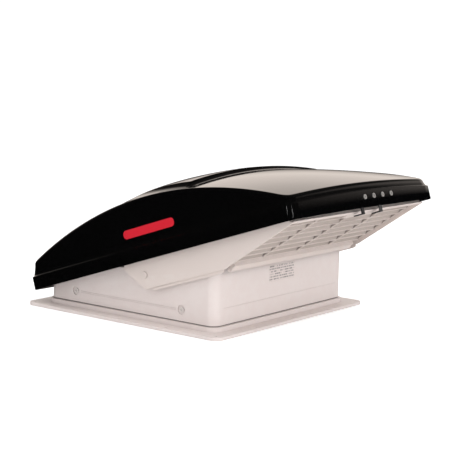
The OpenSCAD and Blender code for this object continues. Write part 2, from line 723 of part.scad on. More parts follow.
module cam_plate(side) color(dark_grey) in_lid() side_plate(side, plate_in, plate_in + plate_t)
difference() {
    front = slot_path[0][0] + 12;
    back = slot_path[slot_last][0] - 12;
    edge = plate_in + plate_t;
    polygon(concat(
        [for (i = [0 : 6]) let (u = back + (front - back) * i / 6) [u, lid_top(u, edge) - lid_wall + 0.6]],
        [[front, slot_path[0][1] - 11], [slot_path[0][0] - 8, slot_path[0][1] - 11],
            [slot_path[slot_last][0] + 8, slot_path[slot_last][1] - 11],
            [back, slot_path[slot_last][1] - 9]]));
    polygon(along_slot(slot_r));
    for (p = [slot_path[0], slot_path[slot_last]]) translate(p) circle(slot_r);
}

module cam_plate_left() cam_plate(1);
module cam_plate_right() cam_plate(-1);

module crank_shaft() color(steel) translate([crank_x, crank_y, knob_z + knob_h - 5])
    cylinder(h = shaft_z - 6 - knob_z - knob_h + 5, r = crank_r);

module crank_knob() color(black) translate([crank_x, crank_y, knob_z]) difference() {
    union() {
        cylinder(h = knob_h, r = knob_r - 2);
        for (a = [0 : 30 : 330]) rotate([0, 0, a]) translate([knob_r - 4, 0, 0])
            cylinder(h = knob_h, r = 3, $fn = 24);
    }
    translate([0, 0, knob_h - 5]) cylinder(h = knob_h, r = crank_r);
    translate([0, 0, -cut]) cylinder(h = 3 + cut, r = 4);
    cylinder(h = knob_h, r = knob_screw_r);
}

module knob_screw() color(steel) translate([crank_x, crank_y, knob_z + 3]) rotate([180, 0, 0])
    screw(3.6, 2, knob_screw_r, 1);

// ---- lid trim ----

module lid_badges() color(badge_blue) in_lid() for (side = [-1, 1])
    translate([badge_u, side * (lid_half - wall_set - side_lean * 0.32), badge_w]) rotate([side * 2.3, 0, 0])
        rotate([90, 0, 0]) translate([0, 0, -1]) linear_extrude(2) rounded(badge_half[0], badge_half[1], 6);

module lid_front_screws() color(steel) in_lid() for (y = front_screw_y)
    translate([lid_length, y, front_screw_w]) rotate([0, 90, 0]) screw(4, 1.6, 1.6, 2.6);

// Two hooks under the lid's front edge that hold the shield's top rail loosely
module rail_hooks() color(black) in_lid() for (y = hook_y) {
    box([lid_length - hook_t, lid_length], about(y, hook_w / 2), [-hook_drop, rim_arch + 1]);
    box([rail_u - hook_reach, lid_length], about(y, hook_w / 2), [-hook_drop, -hook_drop + hook_t]);
}

// ---- rain shield ----

function from_lid(u, w) = [lid_x + u * cos(lid_open) - w * sin(lid_open),
    lid_z + u * sin(lid_open) + w * cos(lid_open)];
panel_tuck = 12;      // how far a side panel reaches up inside the lid
panel_low = [pivot_x - 0.2, pivot_z - 22.9];
panel_rear_u = (pivot_x - 42.4 - lid_x) / cos(lid_open) + panel_tuck * tan(lid_open);

module panel_outline() polygon([
    from_lid(panel_rear_u, panel_tuck), [pivot_x - 44.4, pivot_z + 6], [pivot_x - 42, pivot_z + 2],
    panel_low + [-4, 2.6], panel_low + [0, 0.6], panel_low + [3, 0],
    [bar_x - 2, bar_z - 0.6], [bar_x, bar_z],
    [rail_x, rail_z], from_lid(rail_u - 29, panel_tuck)]);

module shield_side(side) color(pale) difference() {
    union() {
        side_plate(side, panel_in, panel_out) panel_outline();
        // Lip along the lower edge
        side_plate(side, panel_in, panel_in + 1.6) polygon([
            panel_low + [14, 3], panel_low + [16, -0.5], [bar_x - 9, bar_z - 8.4], [bar_x - 3, bar_z - 5],
            [bar_x - 3, bar_z]]);
    }
    side_rod(side, pivot_x, pivot_z, pivot_r + run, panel_in - cut, panel_out + cut);
}

module shield_side_left() shield_side(1);
module shield_side_right() shield_side(-1);

module pivot_bolts() color(pale) for (side = [-1, 1]) {
    side_rod(side, pivot_x, pivot_z, pivot_r, housing_in - pivot_inner_t, panel_out + air);
    side_rod(side, pivot_x, pivot_z, pivot_r + 1.4, panel_out + air, panel_out + air + 1.4);
    side_rod(side, pivot_x, pivot_z, pivot_r + 2, housing_in - pivot_inner_t, housing_in);
}

function from_face(s, n) = [bar_x + s * cos(face_angle) - n * sin(face_angle),
    bar_z + s * sin(face_angle) + n * cos(face_angle)];
grille_back = face_recess + slat_depth + 1;

module shield_bar() color(pale) intersection() {
    side_plate(1, -bar_half, bar_half) polygon([
        [bar_x, bar_z], [bar_x - 3, bar_z - 5.5], [bar_x - 9, bar_z - 8.4], [bar_x - 11, bar_z - 8],
        [bar_x - 10, bar_z - 4], [bar_x - 5.5, bar_z + 1], from_face(0.5, grille_back),
        from_face(grille_low, grille_back), from_face(grille_low, 0)]);
    // Rounds the two lower ends
    translate([bar_x - bar_span / 2, 0, bar_z - 8.4 + bar_span / 2]) rotate([90, 0, 90])
        linear_extrude(bar_span) rounded(bar_half, bar_span / 2, bar_end_r);
}

module shield_rail() color(pale) in_face() {
    side_plate(1, -panel_in, panel_in) polygon([
        [face_len - rail_len, 0], [face_len - 1.2, 0], [face_len, 1.2], [face_len - 1, rail_t - 0.4],
        [face_len - 3, rail_t], [face_len - 4.8, grille_back - 1], [face_len - rail_len, grille_back - 1]]);
    box([face_len - rail_len - pad_len, face_len - rail_len + 1], pad_y, [0, 2.6]);
}

module louvre_grille() color(pale) in_face() {
    pitch = (grille_high - rail_len - grille_low) / slat_rows;
    top = grille_high - rail_len;
    translate([0, 0, face_recess]) {
        for (i = [0 : slat_rows - 1]) let (s = grille_low + i * pitch) side_plate(1, -panel_in, panel_in)
            polygon([[s, 0], [s + 1.2, 0], [s + pitch, slat_depth - slat_t], [s + pitch, slat_depth],
                [s + pitch - 1.5, slat_depth], [s, slat_t]]);
        for (i = [0 : slat_columns]) let (y = panel_in * (2 * i / slat_columns - 1),
                in = i == 0 ? rib_t / 2 : (i == slat_columns ? -rib_t / 2 : 0))
            box([grille_low, top], about(y + in, rib_t / 2), [0.3, slat_depth + 1]);
    }
}

mounting_flange();
curb_gasket();
fan_housing();
housing_screws();
rating_label();
fan_deck();
fan_shroud();
deck_screws();
motor_bracket();
bracket_screws();
fan_motor();
motor_cap();
motor_screws();
lead_grommet();
impeller();
motor_shaft();
hub_nut();
screen_frame();
screen_mesh();
screen_clips();
control_panel();
control_board();
power_button();
faster_button();
slower_button();
direction_button();
auto_button();
hinge_bracket_left();
hinge_bracket_right();
hinge_pins();
lift_gearbox();
gearbox_cover();
shaft_block();
lift_shaft();
lift_arm_left();
lift_arm_right();
slide_pins();
crank_shaft();
crank_knob();
knob_screw();
pivot_bolts();
lid_shell();
lid_hinge_left();
lid_hinge_right();
cam_plate_left();
cam_plate_right();
lid_badges();
lid_front_screws();
rail_hooks();
shield_side_left();
shield_side_right();
shield_bar();
shield_rail();
louvre_grille();
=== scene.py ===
import json
import logging
import math
from dataclasses import dataclass
from enum import Enum

import bmesh
import bpy
from mathutils import Matrix, Vector

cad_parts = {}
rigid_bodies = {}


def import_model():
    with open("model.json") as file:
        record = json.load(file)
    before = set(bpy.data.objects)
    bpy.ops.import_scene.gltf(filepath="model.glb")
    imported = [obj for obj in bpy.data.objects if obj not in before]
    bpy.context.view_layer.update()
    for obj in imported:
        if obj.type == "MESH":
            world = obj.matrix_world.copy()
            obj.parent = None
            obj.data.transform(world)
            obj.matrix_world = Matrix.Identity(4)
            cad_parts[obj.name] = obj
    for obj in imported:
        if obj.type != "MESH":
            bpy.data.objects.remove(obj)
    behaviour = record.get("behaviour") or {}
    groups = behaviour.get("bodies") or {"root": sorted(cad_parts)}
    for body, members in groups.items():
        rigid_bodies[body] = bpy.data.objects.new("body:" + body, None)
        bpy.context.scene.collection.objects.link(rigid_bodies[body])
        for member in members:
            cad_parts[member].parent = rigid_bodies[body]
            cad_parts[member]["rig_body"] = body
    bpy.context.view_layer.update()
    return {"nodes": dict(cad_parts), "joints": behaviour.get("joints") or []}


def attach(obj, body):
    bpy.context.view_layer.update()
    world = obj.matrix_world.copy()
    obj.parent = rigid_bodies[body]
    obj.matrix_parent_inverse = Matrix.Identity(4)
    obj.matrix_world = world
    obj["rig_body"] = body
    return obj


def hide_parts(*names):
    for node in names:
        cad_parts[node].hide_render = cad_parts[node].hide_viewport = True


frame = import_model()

log = logging.getLogger("roof_ventilator")
MM = 0.001

Colour = tuple[float, float, float]
Point = tuple[float, float, float]
Range = tuple[float, float]
Face = tuple[int, ...]
Shape = tuple[list[Point], list[Face]]


def clamp(value: float, low: float = 0.0, high: float = 1.0) -> float:
    """Return value held between low and high."""
    return max(low, min(high, value))


def smooth_step(value: float) -> float:
    """Return the smooth 0 to 1 ramp of value."""
    held = clamp(value)
    return held * held * (3 - 2 * held)


# --- Shader wiring ---


class Wiring:
    """Adds and joins nodes in one node tree."""

    def __init__(self, tree: bpy.types.NodeTree) -> None:
        """Keep the tree that the nodes go in."""
        self.tree = tree
        self.count = 0

    def add(self, kind: str, label: str = "", **values: object) -> bpy.types.Node:
        """Add one node.

        Args:
            kind: The node's type name, without "ShaderNode" in front.
            label: A plain name that says what the node is for.
            **values: Properties of the node to set.

        Returns:
            The new node.
        """
        full = kind if kind.startswith("Node") else "ShaderNode" + kind
        node = self.tree.nodes.new(full)
        node.location = (190 * (self.count % 7), -230 * (self.count // 7))
        self.count += 1
        node.label = label
        for key, value in values.items():
            setattr(node, key, value)
        return node

    def join(self, source: bpy.types.NodeSocket, target: bpy.types.NodeSocket) -> None:
        """Link an output socket to an input socket."""
        self.tree.links.new(source, target)

    def feed(self, target: bpy.types.NodeSocket, value: object) -> None:
        """Give an input socket a link or a plain number.

        Args:
            target: The input socket.
            value: An output socket to link, or a number or tuple to set.
        """
        if isinstance(value, bpy.types.NodeSocket):
            self.join(value, target)
        elif isinstance(value, tuple) and len(value) == 3 and len(target.default_value) == 4:
            target.default_value = (*value, 1.0)
        else:
            target.default_value = value

    def maths(self, operation: str, *inputs: object, clamped: bool = False) -> bpy.types.NodeSocket:
        """Add a Math node.

        Args:
            operation: The name of the sum to do.
            *inputs: Sockets or numbers, in order.
            clamped: Whether the result is held between 0 and 1.

        Returns:
            The result socket.
        """
        node = self.add("Math", operation=operation, use_clamp=clamped)
        for slot, value in zip(node.inputs, inputs):
            self.feed(slot, value)
        return node.outputs[0]

    def times(self, first: object, *others: object, clamped: bool = False) -> bpy.types.NodeSocket:
        """Multiply sockets or numbers, one after another.

        Args:
            first: The first socket or number.
            *others: What it is multiplied by.
            clamped: Whether each result is held between 0 and 1.

        Returns:
            The product's socket.
        """
        for other in others:
            first = self.maths("MULTIPLY", first, other, clamped=clamped)
        return first

    def place(self) -> bpy.types.NodeSocket:
        """Add the place of the surface on its piece."""
        return self.add("TexCoord").outputs["Object"]

    def axes(self, source: bpy.types.NodeSocket) -> bpy.types.NodeOutputs:
        """Split a place or a direction into outputs X, Y and Z."""
        node = self.add("SeparateXYZ")
        self.join(source, node.inputs[0])
        return node.outputs

    def cells(self, feature: str, scale: float) -> bpy.types.NodeOutputs:
        """Add a cell pattern with so many cells for each metre."""
        node = self.add("TexVoronoi", feature=feature)
        node.inputs["Scale"].default_value = scale
        self.join(self.place(), node.inputs["Vector"])
        return node.outputs

    def ramp(self, value: bpy.types.NodeSocket, span: Range,
             result: Range = (0.0, 1.0)) -> bpy.types.NodeSocket:
        """Map a value smoothly from one range to another.

        Args:
            value: The socket to map.
            span: The values that give the two ends of the result.
            result: The results at those ends.

        Returns:
            The result socket.
        """
        node = self.add("MapRange", interpolation_type="SMOOTHSTEP", clamp=True)
        self.feed(node.inputs["Value"], value)
        for name, number in zip(("From Min", "From Max", "To Min", "To Max"), span + result):
            node.inputs[name].default_value = number
        return node.outputs["Result"]

    def noise(self, place: bpy.types.NodeSocket, scale: object, detail: float = 2.0,
              rough: float = 0.5) -> bpy.types.NodeSocket:
        """Add noise.

        Args:
            place: The coordinates that the noise is read at.
            scale: Cells for each metre, as a number or socket.
            detail: Layers of finer noise.
            rough: How strong the finer layers are.

        Returns:
            The 0 to 1 noise socket.
        """
        node = self.add("TexNoise")
        self.join(place, node.inputs["Vector"])
        self.feed(node.inputs["Scale"], scale)
        node.inputs["Detail"].default_value = detail
        node.inputs["Roughness"].default_value = rough
        return node.outputs["Fac"]

    def blend(self, share: object, first: object, second: object,
              kind: str = "MIX") -> bpy.types.NodeSocket:
        """Mix two colours.

        Args:
            share: How much of the second shows.
            first: The first colour.
            second: The second colour.
            kind: The blend type.

        Returns:
            The mixed colour's socket.
        """
        node = self.add("Mix", data_type="RGBA", blend_type=kind)
        self.feed(node.inputs["Factor"], share)
        self.feed(node.inputs["A"], first)
        self.feed(node.inputs["B"], second)
        return node.outputs["Result"]


class Effect(Enum):
    """The surface effects that more than one finish uses."""

    GRAIN = "Mould grain"
    WEAR = "Rubbed edges"
    DUST = "Settled dust"
    DRIFT = "Tone drift"
    HANDLING = "Handling marks"
    HAIRLINE = "Drawn hairlines"
    # Painted shade: recesses close behind other material darkened from ambient occlusion.
    RECESS_SHADE = "Sheltered places"
    PRINT = "Printed rows"


@dataclass(frozen=True)
class EffectShelf:
    """Builds each effect once, as a shader node group.

    Attributes:
        ripple: The slow ripple's cells against the pores' cells.
        pore_share: How much of the grain is pores.
        edge_span: Pointiness where rubbing starts and is full.
        worn_span: Noise between sound and rubbed patches.
        upward_span: How far up a face looks where dust starts and is full.
        dusty_span: Noise between thin and thick dust.
        thin_dust: How much dust lies where it is thin.
        scratch_cells: Scratch cells for each metre, by axis.
        scratch_turn: How scratches are turned, in radians.
        scratch_span: Noise between sound surface and a scratch.
        scratch_share: How far a scratch changes the gloss.
        painted_shade_span: Closeness where the painted shade starts and is full.
        ink_span: Where a printed row's edge lies.
        run_span: Noise between bare and printed runs.
        letter_cells: Run cells for each metre along a row.
        row_shift: How far each row's noise is moved.
    """

    ripple: float = 0.07
    pore_share: float = 0.6
    edge_span: Range = (0.52, 0.6)
    worn_span: Range = (0.42, 0.62)
    upward_span: Range = (0.3, 1.0)
    dusty_span: Range = (0.3, 0.75)
    thin_dust: float = 0.35
    scratch_cells: Point = (40.0, 900.0, 300.0)
    scratch_turn: Point = (0.2, 0.1, 0.5)
    scratch_span: Range = (0.66, 0.72)
    scratch_share: float = 0.35
    painted_shade_span: Range = (0.12, 0.8)
    ink_span: Range = (0.2, 0.28)
    run_span: Range = (0.44, 0.52)
    letter_cells: float = 420.0
    row_shift: float = 7.3

    @staticmethod
    def blank(effect: Effect, result: str, **numbers: float) -> tuple[Wiring, dict, bpy.types.NodeSocket]:
        """Make an effect's empty group with its sockets.

        Args:
            effect: The effect, whose value is the group's name.
            result: The output's name.
            **numbers: Each input's name and usual value.

        Returns:
            The group's wiring, its inputs by name and its output.
        """
        tree = bpy.data.node_groups.new(effect.value, "ShaderNodeTree")
        for key, value in numbers.items():
            socket = tree.interface.new_socket(name=key, in_out="INPUT", socket_type="NodeSocketFloat")
            socket.default_value = value
        tree.interface.new_socket(name=result, in_out="OUTPUT", socket_type="NodeSocketFloat")
        wiring = Wiring(tree)
        entry, leave = wiring.add("NodeGroupInput"), wiring.add("NodeGroupOutput")
        return wiring, {key: entry.outputs[key] for key in numbers}, leave.inputs[result]

    def grain(self) -> None:
        """Fine moulded texture: pores over a slow ripple."""
        w, ins, out = self.blank(Effect.GRAIN, "Height", Scale=900.0, Depth=1.0)
        place = w.place()
        fine = w.noise(place, ins["Scale"], 3.0, 0.6)
        slow = w.noise(place, w.times(ins["Scale"], self.ripple))
        both = w.maths("ADD", w.times(fine, self.pore_share), w.times(slow, 1 - self.pore_share))
        w.join(w.times(both, ins["Depth"]), out)

    def wear(self) -> None:
        """Edges rubbed bare here and there."""
        w, ins, out = self.blank(Effect.WEAR, "Mask", Amount=0.3, Breakup=60.0)
        edge = w.ramp(w.add("NewGeometry").outputs["Pointiness"], self.edge_span)
        patches = w.ramp(w.noise(w.place(), ins["Breakup"], 4.0, 0.65), self.worn_span)
        w.join(w.times(edge, patches, ins["Amount"], clamped=True), out)

    def dust(self) -> None:
        """Dust that lies on faces that look up."""
        w, ins, out = self.blank(Effect.DUST, "Mask", Amount=0.1, Scale=30.0)
        upward = w.ramp(w.axes(w.add("NewGeometry").outputs["Normal"])["Z"], self.upward_span)
        cloud = w.noise(w.place(), ins["Scale"], 5.0, 0.6)
        patches = w.ramp(cloud, self.dusty_span, (self.thin_dust, 1.0))
        w.join(w.times(upward, patches, ins["Amount"], clamped=True), out)

    def drift(self) -> None:
        """Slow change of tone across a moulding, around 1."""
        w, ins, out = self.blank(Effect.DRIFT, "Gain", Scale=9.0, Spread=0.04)
        cloud = w.noise(w.place(), ins["Scale"], 3.0, 0.55)
        w.join(w.maths("MULTIPLY_ADD", w.maths("SUBTRACT", cloud, 0.5), ins["Spread"], 1.0), out)

    def handling(self) -> None:
        """Smears and fine scratches that change the gloss."""
        w, ins, out = self.blank(Effect.HANDLING, "Roughness", Gloss=0.3, Spread=0.1, Scale=14.0)
        place = w.place()
        smear = w.noise(place, ins["Scale"], 4.0, 0.6)
        stretch = w.add("Mapping")
        stretch.inputs["Scale"].default_value = self.scratch_cells
        stretch.inputs["Rotation"].default_value = self.scratch_turn
        w.join(place, stretch.inputs["Vector"])
        marks = w.ramp(w.noise(stretch.outputs["Vector"], 1.0), self.scratch_span)
        both = w.maths("ADD", w.maths("SUBTRACT", smear, 0.5), w.times(marks, self.scratch_share))
        w.join(w.maths("MULTIPLY_ADD", both, ins["Spread"], ins["Gloss"]), out)

    def hairline(self) -> None:
        """Long fine lines left by drawing or rolling."""
        w, ins, out = self.blank(Effect.HAIRLINE, "Height", Along=20.0, Across=1500.0)
        axes, spread = w.axes(w.place()), w.add("CombineXYZ")
        for axis, key in (("X", "Along"), ("Y", "Across"), ("Z", "Across")):
            w.join(w.times(axes[axis], ins[key]), spread.inputs[axis])
        w.join(w.noise(spread.outputs[0], 1.0, 3.0, 0.7), out)

    def shelter(self) -> None:
        """Painted shade: darkness in places that stand close behind other material, read from ambient
        occlusion.
        """
        w, ins, out = self.blank(Effect.RECESS_SHADE, "Mask", Amount=0.4, Reach=0.008)
        near = w.add("AmbientOcclusion", samples=8)
        w.join(ins["Reach"], near.inputs["Distance"])
        closed = w.ramp(w.maths("SUBTRACT", 1.0, near.outputs["AO"]), self.painted_shade_span)
        w.join(w.times(closed, ins["Amount"], clamped=True), out)

    def printed(self) -> None:
        """Rows of fine marks too small to read, broken into short runs."""
        w, ins, out = self.blank(Effect.PRINT, "Mask", Pitch=0.0042, Amount=0.7)
        axes, cell = w.axes(w.place()), w.add("CombineXYZ")
        rows = w.maths("DIVIDE", axes["Z"], ins["Pitch"])
        inked = w.ramp(w.maths("PINGPONG", rows, 0.5), self.ink_span)
        w.join(w.times(axes["Y"], self.letter_cells), cell.inputs["X"])
        w.join(w.times(w.maths("FLOOR", rows), self.row_shift), cell.inputs["Y"])
        runs = w.ramp(w.noise(cell.outputs[0], 1.0, 2.0, 0.7), self.run_span)
        w.join(w.times(inked, runs, ins["Amount"]), out)

    def build(self) -> None:
        """Build every effect."""
        for make in (self.grain, self.wear, self.dust, self.drift, self.handling, self.hairline,
                     self.shelter, self.printed):
            make()


# --- Finishes ---

COAT_ROUGH = 0.06
RELIEF_STRENGTH = 0.6
FOAM_CELL_HEIGHT = 2.0
SPANGLE_CELLS = 140.0
SPANGLE_TONE: Range = (0.82, 1.08)
# Share of its own colour that a fully shaded recess keeps, for the painted shade.
RECESS_SHADE_SHARE = 0.28
INK: Colour = (0.1, 0.095, 0.09)


class Surface(Enum):
    """What a finish's small relief looks like."""

    MOULDED = "moulded"
    POLISHED = "polished"
    DRAWN = "drawn"
    SPANGLED = "spangled"
    FOAMED = "foamed"


@dataclass(frozen=True)
class Finish:
    """One material of the part.

    Attributes:
        slot: The record's slot, which is the material's name too.
        colour: Linear base colour.
        rough: Usual roughness.
        rough_spread: How far smears and scratches change it.
        surface: The kind of small relief.
        grain: Grain cells for each metre.
        depth: Relief height in millimetres.
        metal: Metallic share.
        dust: How much dust lies on faces that look up.
        wear: How far edges are rubbed.
        drift: How far the tone changes across a piece.
        gloss: Specular level.
        coat: Weight of a clear coat.
        variant: What sets it apart from the slot's usual finish.
        shelter: How far painted shade darkens places close behind other material.
        reach: How near other material must be for a place to take the painted shade, in metres.
        printed: Whether rows of fine marks show.
        dust_colour: The dust's linear colour.
        rubbed_colour: The linear colour of rubbed edges.
    """

    slot: str
    colour: Colour
    rough: float = 0.45
    rough_spread: float = 0.12
    surface: Surface = Surface.MOULDED
    grain: float = 900.0
    depth: float = 0.02
    metal: float = 0.0
    dust: float = 0.06
    wear: float = 0.12
    drift: float = 0.05
    gloss: float = 0.5
    coat: float = 0.0
    variant: str = ""
    shelter: float = 0.0
    reach: float = 0.008
    printed: bool = False
    dust_colour: Colour = (0.46, 0.42, 0.37)
    rubbed_colour: Colour = (0.8, 0.78, 0.75)

    @property
    def key(self) -> str:
        """Return the name that pieces ask for the finish by."""
        return finish_key(self.slot, self.variant)

    def effect(self, w: Wiring, which: Effect, **values: float) -> bpy.types.NodeSocket:
        """Place one effect group.

        Args:
            w: The material's wiring.
            which: The effect.
            **values: Its input values.

        Returns:
            The effect's output socket.
        """
        node = w.add("Group", label=which.value)
        node.node_tree = bpy.data.node_groups[which.value]
        for key, value in values.items():
            node.inputs[key].default_value = value
        return node.outputs[0]

    def relief(self, w: Wiring) -> bpy.types.NodeSocket:
        """Return the height of the finish's small relief."""
        if self.surface is Surface.DRAWN:
            return self.effect(w, Effect.HAIRLINE)
        height = self.effect(w, Effect.GRAIN, Scale=self.grain)
        if self.surface is Surface.FOAMED:
            cells = w.cells("DISTANCE_TO_EDGE", self.grain)
            height = w.maths("ADD", height, w.times(cells["Distance"], FOAM_CELL_HEIGHT))
        return height

    def tone(self, w: Wiring) -> bpy.types.NodeSocket:
        """Return the base colour with its drift, rubbed edges, dust, marks and painted shade in recesses."""
        gain = self.effect(w, Effect.DRIFT, Spread=self.drift)
        shade = w.add("CombineColor")
        for channel, share in zip(("Red", "Green", "Blue"), self.colour):
            w.join(w.times(gain, share), shade.inputs[channel])
        colour = shade.outputs["Color"]
        if self.surface is Surface.SPANGLED:
            flake = w.ramp(w.cells("F1", SPANGLE_CELLS)["Color"], (0.0, 1.0), SPANGLE_TONE)
            colour = w.blend(1.0, colour, flake, "MULTIPLY")
        colour = w.blend(self.effect(w, Effect.WEAR, Amount=self.wear), colour, self.rubbed_colour)
        colour = w.blend(self.effect(w, Effect.DUST, Amount=self.dust), colour, self.dust_colour)
        if self.printed:
            colour = w.blend(self.effect(w, Effect.PRINT), colour, INK)
        # Painted shade: places close behind other material are darkened in the colour, standing in for their
        # shadow.
        if self.shelter > 0:
            recess_shade = self.effect(w, Effect.RECESS_SHADE, Amount=self.shelter, Reach=self.reach)
            colour = w.blend(recess_shade, colour, tuple(RECESS_SHADE_SHARE * share for share in self.colour))
        return colour

    def build(self) -> bpy.types.Material:
        """Make the material.

        Returns:
            The material, named after its key.
        """
        material = bpy.data.materials.new("finish_" + self.key)
        material.use_nodes = True
        tree = material.node_tree
        tree.nodes.clear()
        w = Wiring(tree)
        shader, bump = w.add("BsdfPrincipled"), w.add("Bump")
        for node, key, value in (
            (shader, "Metallic", self.metal), (shader, "Specular IOR Level", self.gloss),
            (shader, "Coat Weight", self.coat), (shader, "Coat Roughness", COAT_ROUGH),
            (bump, "Distance", self.depth * MM), (bump, "Strength", RELIEF_STRENGTH),
        ):
            node.inputs[key].default_value = value
        w.join(self.tone(w), shader.inputs["Base Color"])
        w.join(self.effect(w, Effect.HANDLING, Gloss=self.rough, Spread=self.rough_spread),
               shader.inputs["Roughness"])
        w.join(self.relief(w), bump.inputs["Height"])
        w.join(bump.outputs["Normal"], shader.inputs["Normal"])
        w.join(shader.outputs["BSDF"], w.add("OutputMaterial").inputs["Surface"])
        return material


PALE: Colour = (0.74, 0.655, 0.63)
FINISHES: tuple[Finish, ...] = (
    # The recess darkening amounts in these rows are painted shade.
    Finish("housing_plastic", PALE, rough=0.42, drift=0.04, shelter=0.25, reach=0.006),
    Finish("flange_plastic", (0.75, 0.665, 0.64), rough=0.4, drift=0.04, shelter=0.2, reach=0.004),
    Finish("shield_plastic", (0.70, 0.61, 0.57), rough=0.45, drift=0.04, shelter=0.3, reach=0.006),
    # Painted shade: a darker copy of the shield plastic with full recess shade, for the louvre slats lying in
    # the shadow of the lips above them.
    Finish("shield_plastic", (0.50, 0.425, 0.385), rough=0.45, drift=0.05, variant="louvre", shelter=1.0,
           reach=0.016),
    Finish("lid_plastic", (0.0015, 0.0015, 0.0016), rough=0.07, rough_spread=0.03, surface=Surface.POLISHED,
           depth=0.003, grain=220.0, dust=0.004, wear=0.0, gloss=0.5, drift=0.1),
    Finish("black_plastic", (0.012, 0.012, 0.013), rough=0.4, dust=0.05, wear=0.05, gloss=0.35),
    Finish("fan_plastic", (0.07, 0.072, 0.076), rough=0.42, dust=0.12, wear=0.08),
    Finish("button_plastic", (0.2, 0.2, 0.21), rough=0.5, dust=0.02, wear=0.15),
    Finish("gasket_foam", (0.13, 0.12, 0.115), rough=0.9, surface=Surface.FOAMED, grain=1500.0, depth=0.15,
           gloss=0.2, wear=0.0),
    Finish("grommet_rubber", (0.015, 0.015, 0.016), rough=0.75, grain=1800.0, gloss=0.3, wear=0.0, dust=0.15),
    Finish("zinc_steel", (0.62, 0.63, 0.62), rough=0.36, metal=1.0, surface=Surface.SPANGLED, depth=0.01,
           dust=0.05, wear=0.05, drift=0.12),
    Finish("screw_steel", (0.66, 0.65, 0.63), rough=0.3, metal=1.0, surface=Surface.DRAWN, depth=0.006,
           dust=0.02, wear=0.0, drift=0.06),
    # The painted and blackened screws carry strong painted shade in their drive recesses.
    Finish("screw_steel", (0.74, 0.68, 0.65), rough=0.45, metal=0.15, surface=Surface.DRAWN, depth=0.006,
           dust=0.02, wear=0.0, drift=0.06, variant="painted", shelter=0.9, reach=0.0022),
    Finish("screw_steel", (0.4, 0.385, 0.37), rough=0.4, metal=0.5, surface=Surface.DRAWN, depth=0.006,
           dust=0.02, wear=0.0, drift=0.06, variant="blackened", shelter=0.9, reach=0.003),
    Finish("motor_paint", (0.03, 0.031, 0.034), rough=0.38, grain=500.0, depth=0.03, dust=0.1, wear=0.2,
           rubbed_colour=(0.5, 0.5, 0.5)),
    Finish("screen_wire", (0.08, 0.08, 0.082), rough=0.5, dust=0.1, wear=0.0),
    Finish("board", (0.03, 0.16, 0.06), rough=0.4, grain=2500.0, dust=0.02, wear=0.0),
    Finish("badge_enamel", (0.62, 0.02, 0.035), rough=0.12, rough_spread=0.04, surface=Surface.POLISHED,
           depth=0.002, dust=0.0, wear=0.0, coat=1.0),
    Finish("label_film", (0.73, 0.645, 0.62), rough=0.38, surface=Surface.POLISHED, depth=0.002, dust=0.0,
           wear=0.0, printed=True),
)


# --- Making pieces ---

MERGE_GAP = 0.002
FLAT_ANGLE = 0.4


@dataclass(frozen=True)
class EdgeRound:
    """How a moulded or pressed piece's edges are rounded.

    Attributes:
        radius: Edge radius in millimetres.
        steps: Faces across the rounding.
        angle: Edges sharper than this, in degrees, are rounded.
    """

    radius: float
    steps: int = 3
    angle: float = 28.0

    def apply(self, piece: bpy.types.Object) -> None:
        """Add the rounding to a piece.

        Args:
            piece: The piece, shaded smooth.
        """
        bevel = piece.modifiers.new("Rounded edges", "BEVEL")
        bevel.width = self.radius * MM
        bevel.segments = self.steps
        bevel.limit_method = "ANGLE"
        bevel.angle_limit = math.radians(self.angle)
        bevel.harden_normals = True
        bevel.miter_outer = "MITER_ARC"


class Edge(Enum):
    """The roundings that pieces share."""

    FILM = EdgeRound(0.1, 2)
    SCREW = EdgeRound(0.25, 2)
    PRESSED = EdgeRound(0.3, 2)
    TRIM = EdgeRound(0.4, 2)
    WALL = EdgeRound(0.4)
    TURNED = EdgeRound(0.5, 2)
    BLADE = EdgeRound(0.5, 2, 40.0)
    MOULDED = EdgeRound(0.5)
    CAST = EdgeRound(0.6, 2)
    LEAF = EdgeRound(0.6)
    FLANGE = EdgeRound(0.7)


def finish_key(slot: str, variant: str = "") -> str:
    """Return the name of a slot's finish."""
    return slot + ("_" + variant if variant else "")


def slot_of(holder: bpy.types.Object) -> str:
    """Return the slot that a node of the frame takes its finish from."""
    return holder.data.materials[0].name.split(".")[0]


